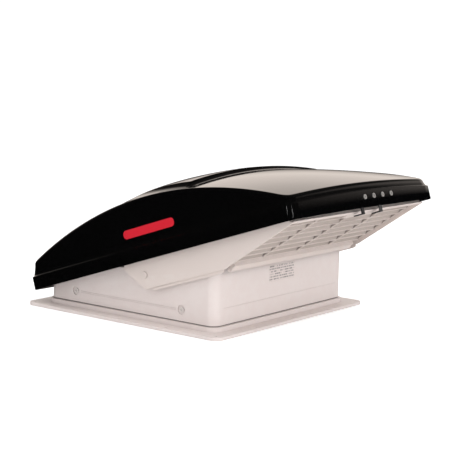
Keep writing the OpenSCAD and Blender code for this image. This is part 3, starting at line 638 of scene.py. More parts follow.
class Maker:
    """Turns meshes into pieces that ride, wear a finish and stand for their nodes."""

    def __init__(self) -> None:
        """Build the effects and every finish."""
        EffectShelf().build()
        self.finishes = {f.key: f.build() for f in FINISHES}

    def place(self, name: str, mesh: bpy.types.Mesh, body: str, slot: str, nodes: tuple[str, ...] = (),
              edges: Edge | None = None, variant: str = "") -> bpy.types.Object:
        """Turn a mesh into a finished piece.

        Args:
            name: The piece's name.
            mesh: Its mesh, in metres in the frame.
            body: The body that it rides on.
            slot: The material slot that it takes.
            nodes: The nodes that it stands for.
            edges: How its edges are rounded.
            variant: Which finish of the slot it takes.

        Returns:
            The new object.
        """
        piece = bpy.data.objects.new(name, mesh)
        bpy.context.scene.collection.objects.link(piece)
        mesh.materials.clear()
        mesh.materials.append(self.finishes[finish_key(slot, variant)])
        for face in mesh.polygons:
            face.use_smooth = True
        if edges is not None:
            edges.value.apply(piece)
        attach(piece, body)
        if nodes:
            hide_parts(*nodes)
        log.info("%s: %d faces on %s", name, len(mesh.polygons), body)
        return piece

    def refine(self, node: str, name: str, edges: Edge, variant: str = "") -> bpy.types.Object:
        """Make a finely edged piece from a node's own shape.

        Args:
            node: The node to work from.
            name: The piece's name.
            edges: How its edges are rounded.
            variant: Which finish of the slot it takes.

        Returns:
            The new object, which stands for the node.
        """
        source = frame["nodes"][node]
        build = bmesh.new()
        build.from_mesh(source.data)
        bmesh.ops.remove_doubles(build, verts=build.verts, dist=MERGE_GAP * MM)
        bmesh.ops.dissolve_limit(build, angle_limit=math.radians(FLAT_ANGLE), use_dissolve_boundaries=False,
                                 verts=build.verts, edges=build.edges, delimit=set())
        mesh = bpy.data.meshes.new(name)
        build.to_mesh(mesh)
        build.free()
        for extra in ("custom_normal", "sharp_edge", "sharp_face"):
            layer = mesh.attributes.get(extra)
            if layer is not None:
                mesh.attributes.remove(layer)
        return self.place(name, mesh, source["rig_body"], slot_of(source), (node,), edges, variant)

    def refine_all(self, rows: tuple[tuple, ...]) -> None:
        """Refine each row's node, name, edges and, where it has one, variant."""
        for row in rows:
            self.refine(*row)

    def dress(self, node: str) -> bpy.types.Object:
        """Give a node that keeps its own shape its finish.

        Args:
            node: The node.

        Returns:
            The node's object.
        """
        shown = frame["nodes"][node]
        slot = slot_of(shown)
        for holder in shown.material_slots:
            holder.material = self.finishes[slot]
        log.info("%s: dressed in %s", node, slot)
        return shown


def mesh_of(name: str, points: list[Point], faces: list[Face]) -> bpy.types.Mesh:
    """Make a mesh.

    Args:
        name: Its name.
        points: Corner places in metres.
        faces: Corners of each face.

    Returns:
        The mesh, with its faces turned outward.
    """
    mesh = bpy.data.meshes.new(name)
    mesh.from_pydata(points, [], faces)
    build = bmesh.new()
    build.from_mesh(mesh)
    bmesh.ops.recalc_face_normals(build, faces=build.faces)
    build.to_mesh(mesh)
    build.free()
    return mesh

def mesh_of_shapes(name: str, shapes: list[Shape]) -> bpy.types.Mesh:
    """Return one mesh of several closed shapes."""
    points, faces = [], []
    for shape_points, shape_faces in shapes:
        faces += [tuple(len(points) + i for i in face) for face in shape_faces]
        points += shape_points
    return mesh_of(name, points, faces)


def tube_faces(rings: int, count: int) -> list[Face]:
    """Return the faces of a closed tube.

    Args:
        rings: How many rings of corners it has, one after another.
        count: Corners in each ring.

    Returns:
        Its sides, ring by ring, and then its two ends.
    """
    sides = [(k * count + i, k * count + (i + 1) % count, (k + 1) * count + (i + 1) % count,
              (k + 1) * count + i) for k in range(rings - 1) for i in range(count)]
    return sides + [tuple(range(count - 1, -1, -1)), tuple(range((rings - 1) * count, rings * count))]


def joint_place(name: str) -> Vector:
    """Return the place of a joint in metres."""
    for joint in frame["joints"]:
        if joint["name"] == name:
            return Vector(joint["pos_m"])
    raise KeyError(name)


# --- Lid ---


@dataclass
class LidShell:
    """The domed lid: a skirt, rounded edges and a top with a raised field.

    Lengths are millimetres along the lid (u), across it (y) and up from its rim (w).
    """

    length: float = 558.2
    half: float = 203.3
    rise: float = 96.4
    crown: float = 18.0
    front_crown: float = 6.7
    crown_end: float = 0.637
    peak_share: float = 0.4835
    rear_height: float = 44.5
    front_height: float = 34.5
    rear_lean: float = 9.7
    front_lean: float = 5.5
    wall_set: float = 2.5
    side_lean: float = 3.2
    corner: float = 13.0
    edge: float = 5.0
    band: float = 24.0
    wall: float = 3.0
    step: float = 6.5
    field_rear: float = 0.34
    field_run: float = 0.22
    field_front: float = 0.652
    field_ramp: float = 4.0
    field_half: float = 171.4
    field_shoulder: float = 10.0
    open_angle: float = 18.05
    hinge_u: float = 41.3
    hinge_w: float = 34.8
    band_arch: float = 6.5
    rim_arch: float = 1.7
    arch_run: float = 60.0
    rim_round: float = 0.6
    edge_inset: float = 1.2
    edge_start: Point = (1.7, 1.2, 1.3)
    edge_steps: int = 7
    groove: Range = (2.4, 1.9)
    seam_drop: float = 1.8
    seam_height: float = 1.6
    seam_curve: tuple[Range, ...] = ((0.3, 0.12), (0.9, 0.75))
    proud: float = 0.1
    wall_foot: float = 0.4
    wall_shares: Point = (0.25, 0.5, 0.75)
    inner_band: Range = (-2.0, 1.0)
    rear_crown: float = 0.6
    crown_inset: float = 5.0
    corner_shares: tuple[float, ...] = (0, 0.15, 0.32, 0.5, 0.72, 1)
    run_steps: int = 44
    ramp_steps: int = 6
    rest_steps: int = 22
    shoulder_steps: int = 8
    middle_steps: int = 18

    def __post_init__(self) -> None:
        """Work out the places that follow from the sizes."""
        self.peak = self.peak_share * self.length
        self.rear_bow = (self.rise - self.rear_height) / (self.peak - self.rear_lean) ** 2
        self.front_bow = (self.rise - self.front_height) / (self.length - self.front_lean - self.peak) ** 2
        pin = joint_place("lid_tilt") / MM
        a = math.radians(self.open_angle)
        self.cos, self.sin = math.cos(a), math.sin(a)
        self.x = pin.x - (self.hinge_u * self.cos - self.hinge_w * self.sin)
        self.z = pin.z - (self.hinge_u * self.sin + self.hinge_w * self.cos)

    def world(self, u: float, y: float, w: float) -> Point:
        """Return a lid place in metres in the frame."""
        return ((self.x + u * self.cos - w * self.sin) * MM, y * MM,
                (self.z + u * self.sin + w * self.cos) * MM)

    def side_rise(self, u: float) -> float:
        """Return the height of the side's top line at u."""
        bow = self.rear_bow if u < self.peak else self.front_bow
        return self.rise - bow * (u - self.peak) ** 2

    def crown_at(self, u: float) -> float:
        """Return how far the middle stands above the sides at u."""
        share = u / self.length
        if share < self.crown_end:
            return self.crown * (self.rear_crown + (1 - self.rear_crown) * smooth_step(2 * share))
        return self.crown + (self.front_crown - self.crown) * (share - self.crown_end) / (1 - self.crown_end)

    def field_at(self, u: float, y: float) -> float:
        """Return the raised field's height at a place."""
        rear = smooth_step((u - self.field_rear * self.length) / (self.field_run * self.length))
        front = 1 - smooth_step((u - self.field_front * self.length) / self.field_ramp)
        side = 1 - smooth_step((abs(y) - self.field_half) / self.field_shoulder)
        return self.step * rear * front * side

    def top(self, u: float, y: float) -> float:
        """Return the height of the top at a place."""
        crowned = self.crown_at(u) * (1 - (y / (self.half - self.crown_inset)) ** 2)
        return self.side_rise(u) + crowned + self.field_at(u, y)

    def arch(self, u: float, y: float) -> float:
        """Return how much of the front wall's arch shows at a place."""
        return smooth_step((u - self.length + self.arch_run) / self.arch_run) * (1 - (y / self.half) ** 2)

    def stations(self) -> tuple[list[float], list[float]]:
        """Return shares along and across, close together at corners and at the field's edges."""
        corner_u = [self.corner / self.length * s for s in self.corner_shares]
        start, front = corner_u[-1], self.field_front
        ramp = self.field_ramp / self.length
        run_u = [start + (front - start) * i / self.run_steps for i in range(1, self.run_steps)]
        ramp_u = [front + ramp * (i / self.ramp_steps) for i in range(self.ramp_steps + 1)]
        rest_from, rest_to = front + ramp, 1 - start
        rest_u = [rest_from + (rest_to - rest_from) * i / self.rest_steps for i in range(1, self.rest_steps)]
        along = corner_u + run_u + ramp_u + rest_u + [1 - s for s in reversed(corner_u)]
        corner_y = [self.corner / self.half * s for s in self.corner_shares]
        plan_half = self.half - self.wall_set
        shoulder = [(self.field_half + self.field_shoulder * i / self.shoulder_steps) / plan_half
                    for i in range(self.shoulder_steps + 1)]
        middle = [shoulder[0] * (i / self.middle_steps - 1) for i in range(1, 2 * self.middle_steps)]
        across = ([-1 + s for s in corner_y[:-1]] + [-s for s in reversed(shoulder)] + middle + shoulder
                  + [1 - s for s in reversed(corner_y[:-1])])
        return along, across

    def turned(self, u: float, y: float, u0: float, u1: float, half: float) -> tuple[float, float]:
        """Move a place inside the corner squares onto concentric round corners."""
        r = self.corner
        cu = clamp(u, u0 + r, u1 - r)
        cy = clamp(y, -half + r, half - r)
        du, dy = u - cu, y - cy
        reach = math.hypot(du, dy)
        if reach == 0 or du == 0 or dy == 0:
            return u, y
        far = max(abs(du), abs(dy))
        return cu + du * far / reach, cy + dy * far / reach

    def rings(self) -> tuple[list, list]:
        """Return the outer and inner wall rings: insets at rear, front and side, then a height or a share.

        A share above 0 is of the wall's height over the band, and one below 0 is a drop from the top.
        """
        t, band, seam, proud = self.wall, self.band, self.wall_set, self.wall_set + self.proud
        leans = (self.rear_lean, self.front_lean, self.wall_set + self.side_lean)
        starts = [lean - start for lean, start in zip(leans, self.edge_start)]
        outer = [(self.rim_round,) * 3 + (0.0, None)]
        outer += [(0, 0, 0, w, None) for w in (self.rim_round, band - self.groove[0], band - self.groove[1])]
        outer += [(seam * s,) * 3 + (band - self.seam_drop + self.seam_height * h, None)
                  for s, h in self.seam_curve]
        outer += [(proud,) * 3 + (band + self.wall_foot, None)]
        outer += [(*(proud + (start - seam) * share for start in starts), None, share)
                  for share in self.wall_shares]
        for i in range(self.edge_steps + 1):
            a = math.radians(90 * i / self.edge_steps)
            inset, drop = (self.edge - self.edge_inset) * (1 - math.cos(a)), self.edge * (1 - math.sin(a))
            outer.append((*(start + inset for start in starts), None, -drop - 1e-6))
        inner = [(t, t, t, 0.0, None), (t, t, t, band + self.inner_band[0], None),
                 (t + seam,) * 3 + (band + self.inner_band[1], None)]
        return outer, inner

    def build_mesh(self) -> bpy.types.Mesh:
        """Build the shell.

        Returns:
            The closed mesh, in metres in the frame.
        """
        along, across = self.stations()
        nu, ny = len(along), len(across)
        border = ([(i, 0) for i in range(nu)] + [(nu - 1, j) for j in range(1, ny)]
                  + [(i, ny - 1) for i in range(nu - 2, -1, -1)] + [(0, j) for j in range(ny - 2, 0, -1)])
        nb = len(border)
        points: list[Point] = []
        faces: list[Face] = []

        def plan(i: int, j: int, inset: Point) -> tuple[float, float]:
            """Return the plan place of a grid station at an inset."""
            u0, u1, half = inset[0], self.length - inset[1], self.half - inset[2]
            return self.turned(u0 + along[i] * (u1 - u0), across[j] * half, u0, u1, half)

        def ring(spec: tuple) -> int:
            """Add one ring and return where it starts."""
            start = len(points)
            for i, j in border:
                u, y = plan(i, j, spec[:3])
                share = self.arch(u, y)
                if spec[3] is not None:
                    w = spec[3] + share * (self.rim_arch if spec[3] < 1 else self.band_arch)
                elif spec[4] < 0:
                    w = self.top(u, y) + spec[4]
                else:
                    low = self.band + self.wall_foot + share * self.band_arch
                    high = self.top(u, y) - self.edge
                    w = low + (high - low) * spec[4]
                points.append(self.world(u, y, w))
            return start

        def sheet(inset: Point, drop: float) -> int:
            """Add one top sheet and return where it starts."""
            start = len(points)
            for i in range(nu):
                for j in range(ny):
                    u, y = plan(i, j, inset)
                    points.append(self.world(u, y, self.top(u, y) - drop))
            return start

        def band_faces(low: int, high: int) -> None:
            """Join two rings."""
            for k in range(nb):
                n = (k + 1) % nb
                faces.append((low + k, low + n, high + n, high + k))

        def cap_faces(ring_at: int, sheet_at: int) -> None:
            """Join a ring to a sheet and fill the sheet."""
            for k in range(nb):
                n = (k + 1) % nb
                a, b = border[k], border[n]
                faces.append((ring_at + k, ring_at + n, sheet_at + b[0] * ny + b[1],
                              sheet_at + a[0] * ny + a[1]))
            for i in range(nu - 1):
                for j in range(ny - 1):
                    a = sheet_at + i * ny + j
                    faces.append((a, a + ny, a + ny + 1, a + 1))

        def stack(specs: list) -> list[int]:
            """Add rings, join each to the next and return where they start."""
            starts = [ring(spec) for spec in specs]
            for low, high in zip(starts, starts[1:]):
                band_faces(low, high)
            return starts

        outer, inner = self.rings()
        outer_at = stack(outer)
        cap_faces(outer_at[-1], sheet(tuple(place + self.edge_inset for place in outer[-1][:3]), 0.0))
        inner_at, t = stack(inner), self.wall
        cap_faces(inner_at[-1], sheet((self.rear_lean + t, self.front_lean + t,
                                       self.wall_set + self.side_lean + t), t))
        band_faces(outer_at[0], inner_at[0])
        return mesh_of("lid_shell_skin", points, faces)


@dataclass
class Lid:
    """The lid with its badges, front screws, hinge leaves, slide plates and hooks."""

    shell: LidShell

    def build(self, maker: Maker) -> None:
        """Make every piece of the lid.

        Args:
            maker: Makes and finishes the pieces.
        """
        maker.place("lid_shell_fine", self.shell.build_mesh(), "lid", "lid_plastic", ("lid_shell",))
        maker.refine_all((("lid_badges", "lid_badge_plates", Edge.MOULDED),
                          ("lid_front_screws", "lid_front_screw_heads", Edge.SCREW, "blackened")))
        for side in ("left", "right"):
            maker.refine_all(((f"lid_hinge_{side}", f"lid_hinge_leaf_{side}", Edge.LEAF),
                              (f"cam_plate_{side}", f"slide_plate_{side}", Edge.PRESSED)))
        maker.refine("rail_hooks", "rail_hook_pair", Edge.PRESSED)


# --- Base ---


@dataclass
class Base:
    """The flange, the housing and what stands still inside them."""

    rows: tuple[tuple, ...] = (
        ("mounting_flange", "roof_flange", Edge.FLANGE),
        ("curb_gasket", "curb_gasket_strip", Edge.PRESSED),
        ("fan_housing", "housing_walls", Edge.WALL),
        ("housing_screws", "housing_screw_heads", Edge.SCREW, "painted"),
        ("rating_label", "blank_label", Edge.FILM),
        ("fan_deck", "fan_deck_plate", Edge.PRESSED),
        ("fan_shroud", "fan_shroud_ring", Edge.TRIM),
        ("deck_screws", "deck_screw_heads", Edge.SCREW),
        ("motor_bracket", "motor_spider", Edge.PRESSED),
        ("bracket_screws", "spider_screw_heads", Edge.SCREW),
        ("fan_motor", "motor_can", Edge.TURNED),
        ("motor_cap", "motor_end_cap", Edge.TURNED),
        ("motor_screws", "motor_screw_heads", Edge.SCREW),
        ("lead_grommet", "lead_grommet_ring", Edge.PRESSED),
        ("screen_frame", "screen_surround", Edge.TRIM),
        ("screen_clips", "screen_clip_set", Edge.PRESSED),
        ("control_panel", "control_fascia", Edge.MOULDED),
        ("pivot_bolts", "pivot_bolt_heads", Edge.PRESSED),
    )

    def build(self, maker: Maker) -> None:
        """Make every piece of the base.

        Args:
            maker: Makes and finishes the pieces.
        """
        maker.refine_all(self.rows)
        maker.dress("control_board")


# --- Moving parts ---


@dataclass
class Fan:
    """The impeller with its shaft and nut. Lengths are millimetres."""

    blades: int = 10
    hub_radius: float = 38.0
    hub_height: float = 24.0
    bore: float = 4.0
    tip_radius: float = 152.3
    root_chord: float = 46.0
    tip_chord: float = 60.0
    root_pitch: float = 34.0
    tip_pitch: float = 20.0
    camber: float = 0.055
    thickness: float = 2.4
    sections: int = 12
    outline_steps: int = 12
    root_sink: float = 3.0
    edge_share: float = 0.12
    hub_steps: int = 96

    def hub(self) -> Shape:
        """Return the hub's corners and faces: a ring dished on both sides, with rounded shoulders."""
        r, h, b = self.hub_radius, self.hub_height / 2, self.bore
        under = [(b, -h), (b + 5, -h), (b + 6, -h + 2.5), (r - 7, -h + 2.5), (r - 5, -h), (r - 1.5, -h)]
        rim = [(r, -h + 1.5), (r, h - 4), (r - 1.2, h - 1.2), (r - 4, h), (r - 7, h)]
        outline = under + rim + [(r - 9, h - 2), (b + 7, h - 2), (b + 5, h), (b, h)]
        steps, count = self.hub_steps, len(outline)
        points = [(p[0] * math.cos(a), p[0] * math.sin(a), p[1])
                  for a in (math.tau * i / steps for i in range(steps)) for p in outline]
        faces = [(i * count + k, ((i + 1) % steps) * count + k, ((i + 1) % steps) * count + (k + 1) % count,
                  i * count + (k + 1) % count) for i in range(steps) for k in range(count)]
        return points, faces

    def blade(self, turn: float) -> Shape:
        """Return one blade's corners and faces.

        Args:
            turn: The blade's angle round the hub, in radians.

        Returns:
            The corners, in millimetres from the hub's middle, and the faces.
        """
        n, points = self.outline_steps, []
        for k in range(self.sections + 1):
            share = k / self.sections
            reach = self.tip_radius - self.hub_radius + self.root_sink
            radius = self.hub_radius - self.root_sink + reach * share
            chord = self.root_chord + (self.tip_chord - self.root_chord) * smooth_step(share)
            pitch = math.radians(self.root_pitch + (self.tip_pitch - self.root_pitch) * share)
            upper = [(-0.5 + i / n, 1) for i in range(n + 1)]
            lower = [(0.5 - i / n, -1) for i in range(1, n)]
            for c, side in upper + lower:
                half = self.thickness / 2 * max(self.edge_share, 1 - (2 * c) ** 4)
                rise = self.camber * chord * (1 - 4 * c * c) + side * half
                y = c * chord * math.cos(pitch) - rise * math.sin(pitch)
                z = c * chord * math.sin(pitch) + rise * math.cos(pitch)
                x = math.sqrt(max(0.0, radius * radius - y * y))
                points.append((x * math.cos(turn) - y * math.sin(turn),
                               x * math.sin(turn) + y * math.cos(turn), z))
        return points, tube_faces(self.sections + 1, 2 * n)

    def rotor_mesh(self) -> bpy.types.Mesh:
        """Return the whole impeller's mesh in metres in the frame."""
        corners = [Vector(v.co) for v in frame["nodes"]["impeller"].data.vertices]
        middle = (min(c.z for c in corners) + max(c.z for c in corners)) / 2
        axis = joint_place("fan_spin")
        shapes = [self.hub()] + [self.blade(math.tau * i / self.blades) for i in range(self.blades)]
        return mesh_of_shapes("impeller_rotor", [
            ([(axis.x + x * MM, axis.y + y * MM, middle + z * MM) for x, y, z in points], faces)
            for points, faces in shapes])

    def build(self, maker: Maker) -> None:
        """Make the fan's pieces."""
        maker.place("impeller_rotor", self.rotor_mesh(), frame["nodes"]["impeller"]["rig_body"], "fan_plastic",
                    ("impeller",), Edge.BLADE)
        maker.refine_all((("motor_shaft", "motor_shaft_rod", Edge.PRESSED),
                          ("hub_nut", "hub_hex_nut", Edge.PRESSED)))


@dataclass
class Screen:
    """The insect screen: its support grid and the fine weave in it. Lengths are millimetres."""

    pitch: float = 4.2
    wire: float = 0.22
    swing: float = 0.2
    inset: float = 4.0
    crank_gap: float = 17.0

    def wire_run(self, along: list[float], across: float, flip: bool, parity: int,
                 height: float) -> list[Point]:
        """Return the corners of one wire, four for each crossing.

        Args:
            along: Where the crossing wires lie.
            across: Where this wire lies.
            flip: Whether it runs along Y.
            parity: Whether it starts over or under.
            height: The weave's middle height.

        Returns:
            The corners in metres in the frame.
        """
        points = []
        for k, place in enumerate(along):
            z = height + self.swing * (1 if (k + parity) % 2 else -1)
            for side, up in ((-1, 0), (0, 1), (1, 0), (0, -1)):
                off = across + side * self.wire
                points.append((off * MM, place * MM, (z + up * self.wire) * MM) if flip
                              else (place * MM, off * MM, (z + up * self.wire) * MM))
        return points

    def weave(self) -> bpy.types.Mesh:
        """Return the woven wires' mesh."""
        corners = [Vector(v.co) / MM for v in frame["nodes"]["screen_mesh"].data.vertices]
        low = [min(c[i] for c in corners) + self.inset for i in range(2)]
        high = [max(c[i] for c in corners) - self.inset for i in range(2)]
        height = (min(c.z for c in corners) + max(c.z for c in corners)) / 2
        crank = joint_place("crank_turn") / MM
        edge_x, edge_y = crank.x - self.crank_gap, crank.y + self.crank_gap
        lines, shapes = [], []
        for start, end in zip(low, high):
            gaps = round((end - start) / self.pitch)
            lines.append([start + (end - start) * k / gaps for k in range(gaps + 1)])
        for flip, own, other, cut_from, cut_to in ((False, lines[1], lines[0], edge_y, edge_x),
                                                   (True, lines[0], lines[1], edge_x, edge_y)):
            for n, across in enumerate(own):
                short = across < cut_from if not flip else across > cut_from
                run = [v for v in other if not short or (v < cut_to if not flip else v > cut_to)]
                parity = (n + flip + len(other) - len(run)) % 2
                shapes.append((self.wire_run(run, across, flip, parity, height), tube_faces(len(run), 4)))
        return mesh_of_shapes("screen_weave", shapes)

    def build(self, maker: Maker) -> None:
        """Make the screen."""
        body = maker.dress("screen_mesh")["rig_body"]
        maker.place("screen_weave", self.weave(), body, "screen_wire")


@dataclass
class Controls:
    """The five keys of the panel."""

    keys: tuple[str, ...] = ("power", "faster", "slower", "direction", "auto")

    def build(self, maker: Maker) -> None:
        """Make the keys."""
        for key in self.keys:
            maker.refine(f"{key}_button", f"{key}_key_cap", Edge.WALL)


@dataclass
class Lift:
    """The hinge and the crank that lifts the lid."""

    rows: tuple[tuple, ...] = (
        ("hinge_pins", "hinge_pin_pair", Edge.PRESSED),
        ("lift_gearbox", "gearbox_body", Edge.CAST),
        ("gearbox_cover", "gearbox_lid", Edge.TURNED),
        ("shaft_block", "shaft_bearing", Edge.TURNED),
        ("lift_shaft", "lift_cross_shaft", Edge.PRESSED),
        ("slide_pins", "slide_pin_pair", Edge.PRESSED),
        ("crank_shaft", "crank_rod", Edge.PRESSED),
        ("crank_knob", "crank_grip", Edge.TRIM),
        ("knob_screw", "knob_screw_head", Edge.PRESSED),
    )

    def build(self, maker: Maker) -> None:
        """Make the hinge and lift pieces."""
        for side in ("left", "right"):
            maker.refine_all(((f"hinge_bracket_{side}", f"hinge_plate_{side}", Edge.PRESSED),
                              (f"lift_arm_{side}", f"lift_lever_{side}", Edge.PRESSED)))
        maker.refine_all(self.rows)


@dataclass
class Louvre:
    """The shield's louvred face: overlapping slats between ribs, with a bead along each front edge.

    Lengths are millimetres up the face (s), across it (y) and back from it (n).
    """

    shell: LidShell
    foot: tuple[float, float] = (202.0, 107.3)
    rail: tuple[float, float] = (545.7, -2.9)
    half: float = 184.5
    rows: int = 7
    columns: int = 4
    recess: float = 7.0
    low: float = 5.0
    top_gap: float = 11.0
    depth: float = 11.5
    slat: float = 1.8
    rib: float = 1.8
    bead: float = 1.5
    bead_out: float = 1.5
    lip: float = 1.2
    nose: float = 1.5
    lap: float = 0.1
    bead_root: float = 0.6
    end_gap: float = 0.05
    rib_set: float = 0.2
    rib_root: float = 0.5
    rib_over: float = 1.0

    def __post_init__(self) -> None:
        """Work out the face's length, angle and row pitch."""
        x, _, z = (v / MM for v in self.shell.world(self.rail[0], 0, self.rail[1]))
        run, rise = x - self.foot[0], z - self.foot[1]
        self.length = math.hypot(run, rise)
        self.cos, self.sin = run / self.length, rise / self.length
        self.top = self.length - self.top_gap
        self.pitch = (self.top - self.low) / self.rows

    def world(self, s: float, y: float, n: float) -> Point:
        """Return a face place in metres in the frame."""
        n += self.recess
        return ((self.foot[0] + s * self.cos - n * self.sin) * MM, y * MM,
                (self.foot[1] + s * self.sin + n * self.cos) * MM)

    def prism(self, outline: list[tuple[float, float]], y0: float, y1: float) -> Shape:
        """Return the corners and faces of an (s, n) outline drawn out along y."""
        return [self.world(s, y, n) for y in (y0, y1) for s, n in outline], tube_faces(2, len(outline))

    def box(self, low: float, high: float, front: float, back: float, y0: float, y1: float) -> Shape:
        """Return the corners and faces of a block of the face."""
        return self.prism([(low, front), (high, front), (high, back), (low, back)], y0, y1)

    def columns_at(self) -> list[float]:
        """Return the middle of each rib."""
        edge = self.half - self.rib / 2
        return [clamp(self.half * (2 * i / self.columns - 1), -edge, edge) for i in range(self.columns + 1)]

    def slats(self) -> bpy.types.Mesh:
        """Return the slats and the ribs between them."""
        parts = []
        for row in range(self.rows):
            s, end = self.low + row * self.pitch, self.low + (row + 1) * self.pitch
            outline = [(s, 0), (s + self.lip, 0), (end, self.depth - self.slat), (end, self.depth),
                       (end - self.nose, self.depth), (s, self.slat)]
            parts.append(self.prism(outline, -self.half, self.half))
        for y in self.columns_at():
            parts.append(self.box(self.low, self.top, 0, self.depth + self.rib_over, y - self.rib / 2,
                                  y + self.rib / 2))
        return mesh_of_shapes("louvre_slats", parts)

    def beads(self) -> bpy.types.Mesh:
        """Return the raised beads along the slats' and the ribs' front edges."""
        out, reach = -self.bead_out, self.half - self.end_gap
        parts = []
        for row in range(self.rows):
            s = self.low + row * self.pitch
            parts.append(self.box(s - self.lap, s + self.bead, out, self.bead_root, -reach, reach))
        for y in self.columns_at():
            parts.append(self.box(self.low, self.top, out + self.rib_set, self.rib_root,
                                  max(-reach, y - self.rib / 2), min(reach, y + self.rib / 2)))
        return mesh_of_shapes("louvre_beads", parts)

    def build(self, maker: Maker) -> None:
        """Make the louvre's pieces."""
        body = frame["nodes"]["louvre_grille"]["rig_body"]
        # Painted shade: the slats and ribs take the darker louvre copy of the shield plastic, while the beads
        # keep its plain colour.
        maker.place("louvre_slats", self.slats(), body, "shield_plastic", ("louvre_grille",), Edge.SCREW,
                    "louvre")
        maker.place("louvre_beads", self.beads(), body, "shield_plastic", (), Edge.TRIM)


@dataclass
class RainShield:
    """The louvred shield that hangs under the open lid."""

    louvre: Louvre
    louvre: Louvre

    def build(self, maker: Maker) -> None:
        """Make the shield's pieces."""
        for side in ("left", "right"):
            maker.refine(f"shield_side_{side}", f"shield_cheek_{side}", Edge.MOULDED)
        maker.refine_all((("shield_bar", "shield_nose_bar", Edge.CAST),
                          ("shield_rail", "shield_top_rail", Edge.PRESSED)))
        self.louvre.build(maker)


# --- Studio ---


def direction(azimuth: float, elevation: float) -> Vector:
    """Return the way to a place round the part, by degrees from -Y towards +X and degrees up."""
    a, e = math.radians(azimuth), math.radians(elevation)
    return Vector((math.sin(a) * math.cos(e), -math.cos(a) * math.cos(e), math.sin(e)))


@dataclass(frozen=True)
class Softbox:
    """One soft light.

    Attributes:
        name: Its name.
        azimuth: Where it stands, in degrees round the part from -Y towards +X.
        elevation: How high it stands, in degrees.
        distance: How far off, in metres.
        size: Width and height in metres.
        power: Watts.
        glossy: Whether it shows in reflections.
    """

    name: str
    azimuth: float
    elevation: float
    distance: float
    size: tuple[float, float]
    power: float
    glossy: bool = True

    def build(self, aim: Vector) -> None:
        """Place the light.

        Args:
            aim: What it points at.
        """
        lamp = bpy.data.lights.new(self.name, "AREA")
        lamp.shape = "RECTANGLE"
        lamp.size, lamp.size_y = self.size
        lamp.energy = self.power
        away = direction(self.azimuth, self.elevation)
        holder = bpy.data.objects.new(self.name, lamp)
        holder.location = aim + away * self.distance
        holder.rotation_mode = "QUATERNION"
        holder.rotation_quaternion = (-away).to_track_quat("-Z", "Y")
        holder.visible_glossy = self.glossy
        holder.visible_camera = False
        bpy.context.scene.collection.objects.link(holder)


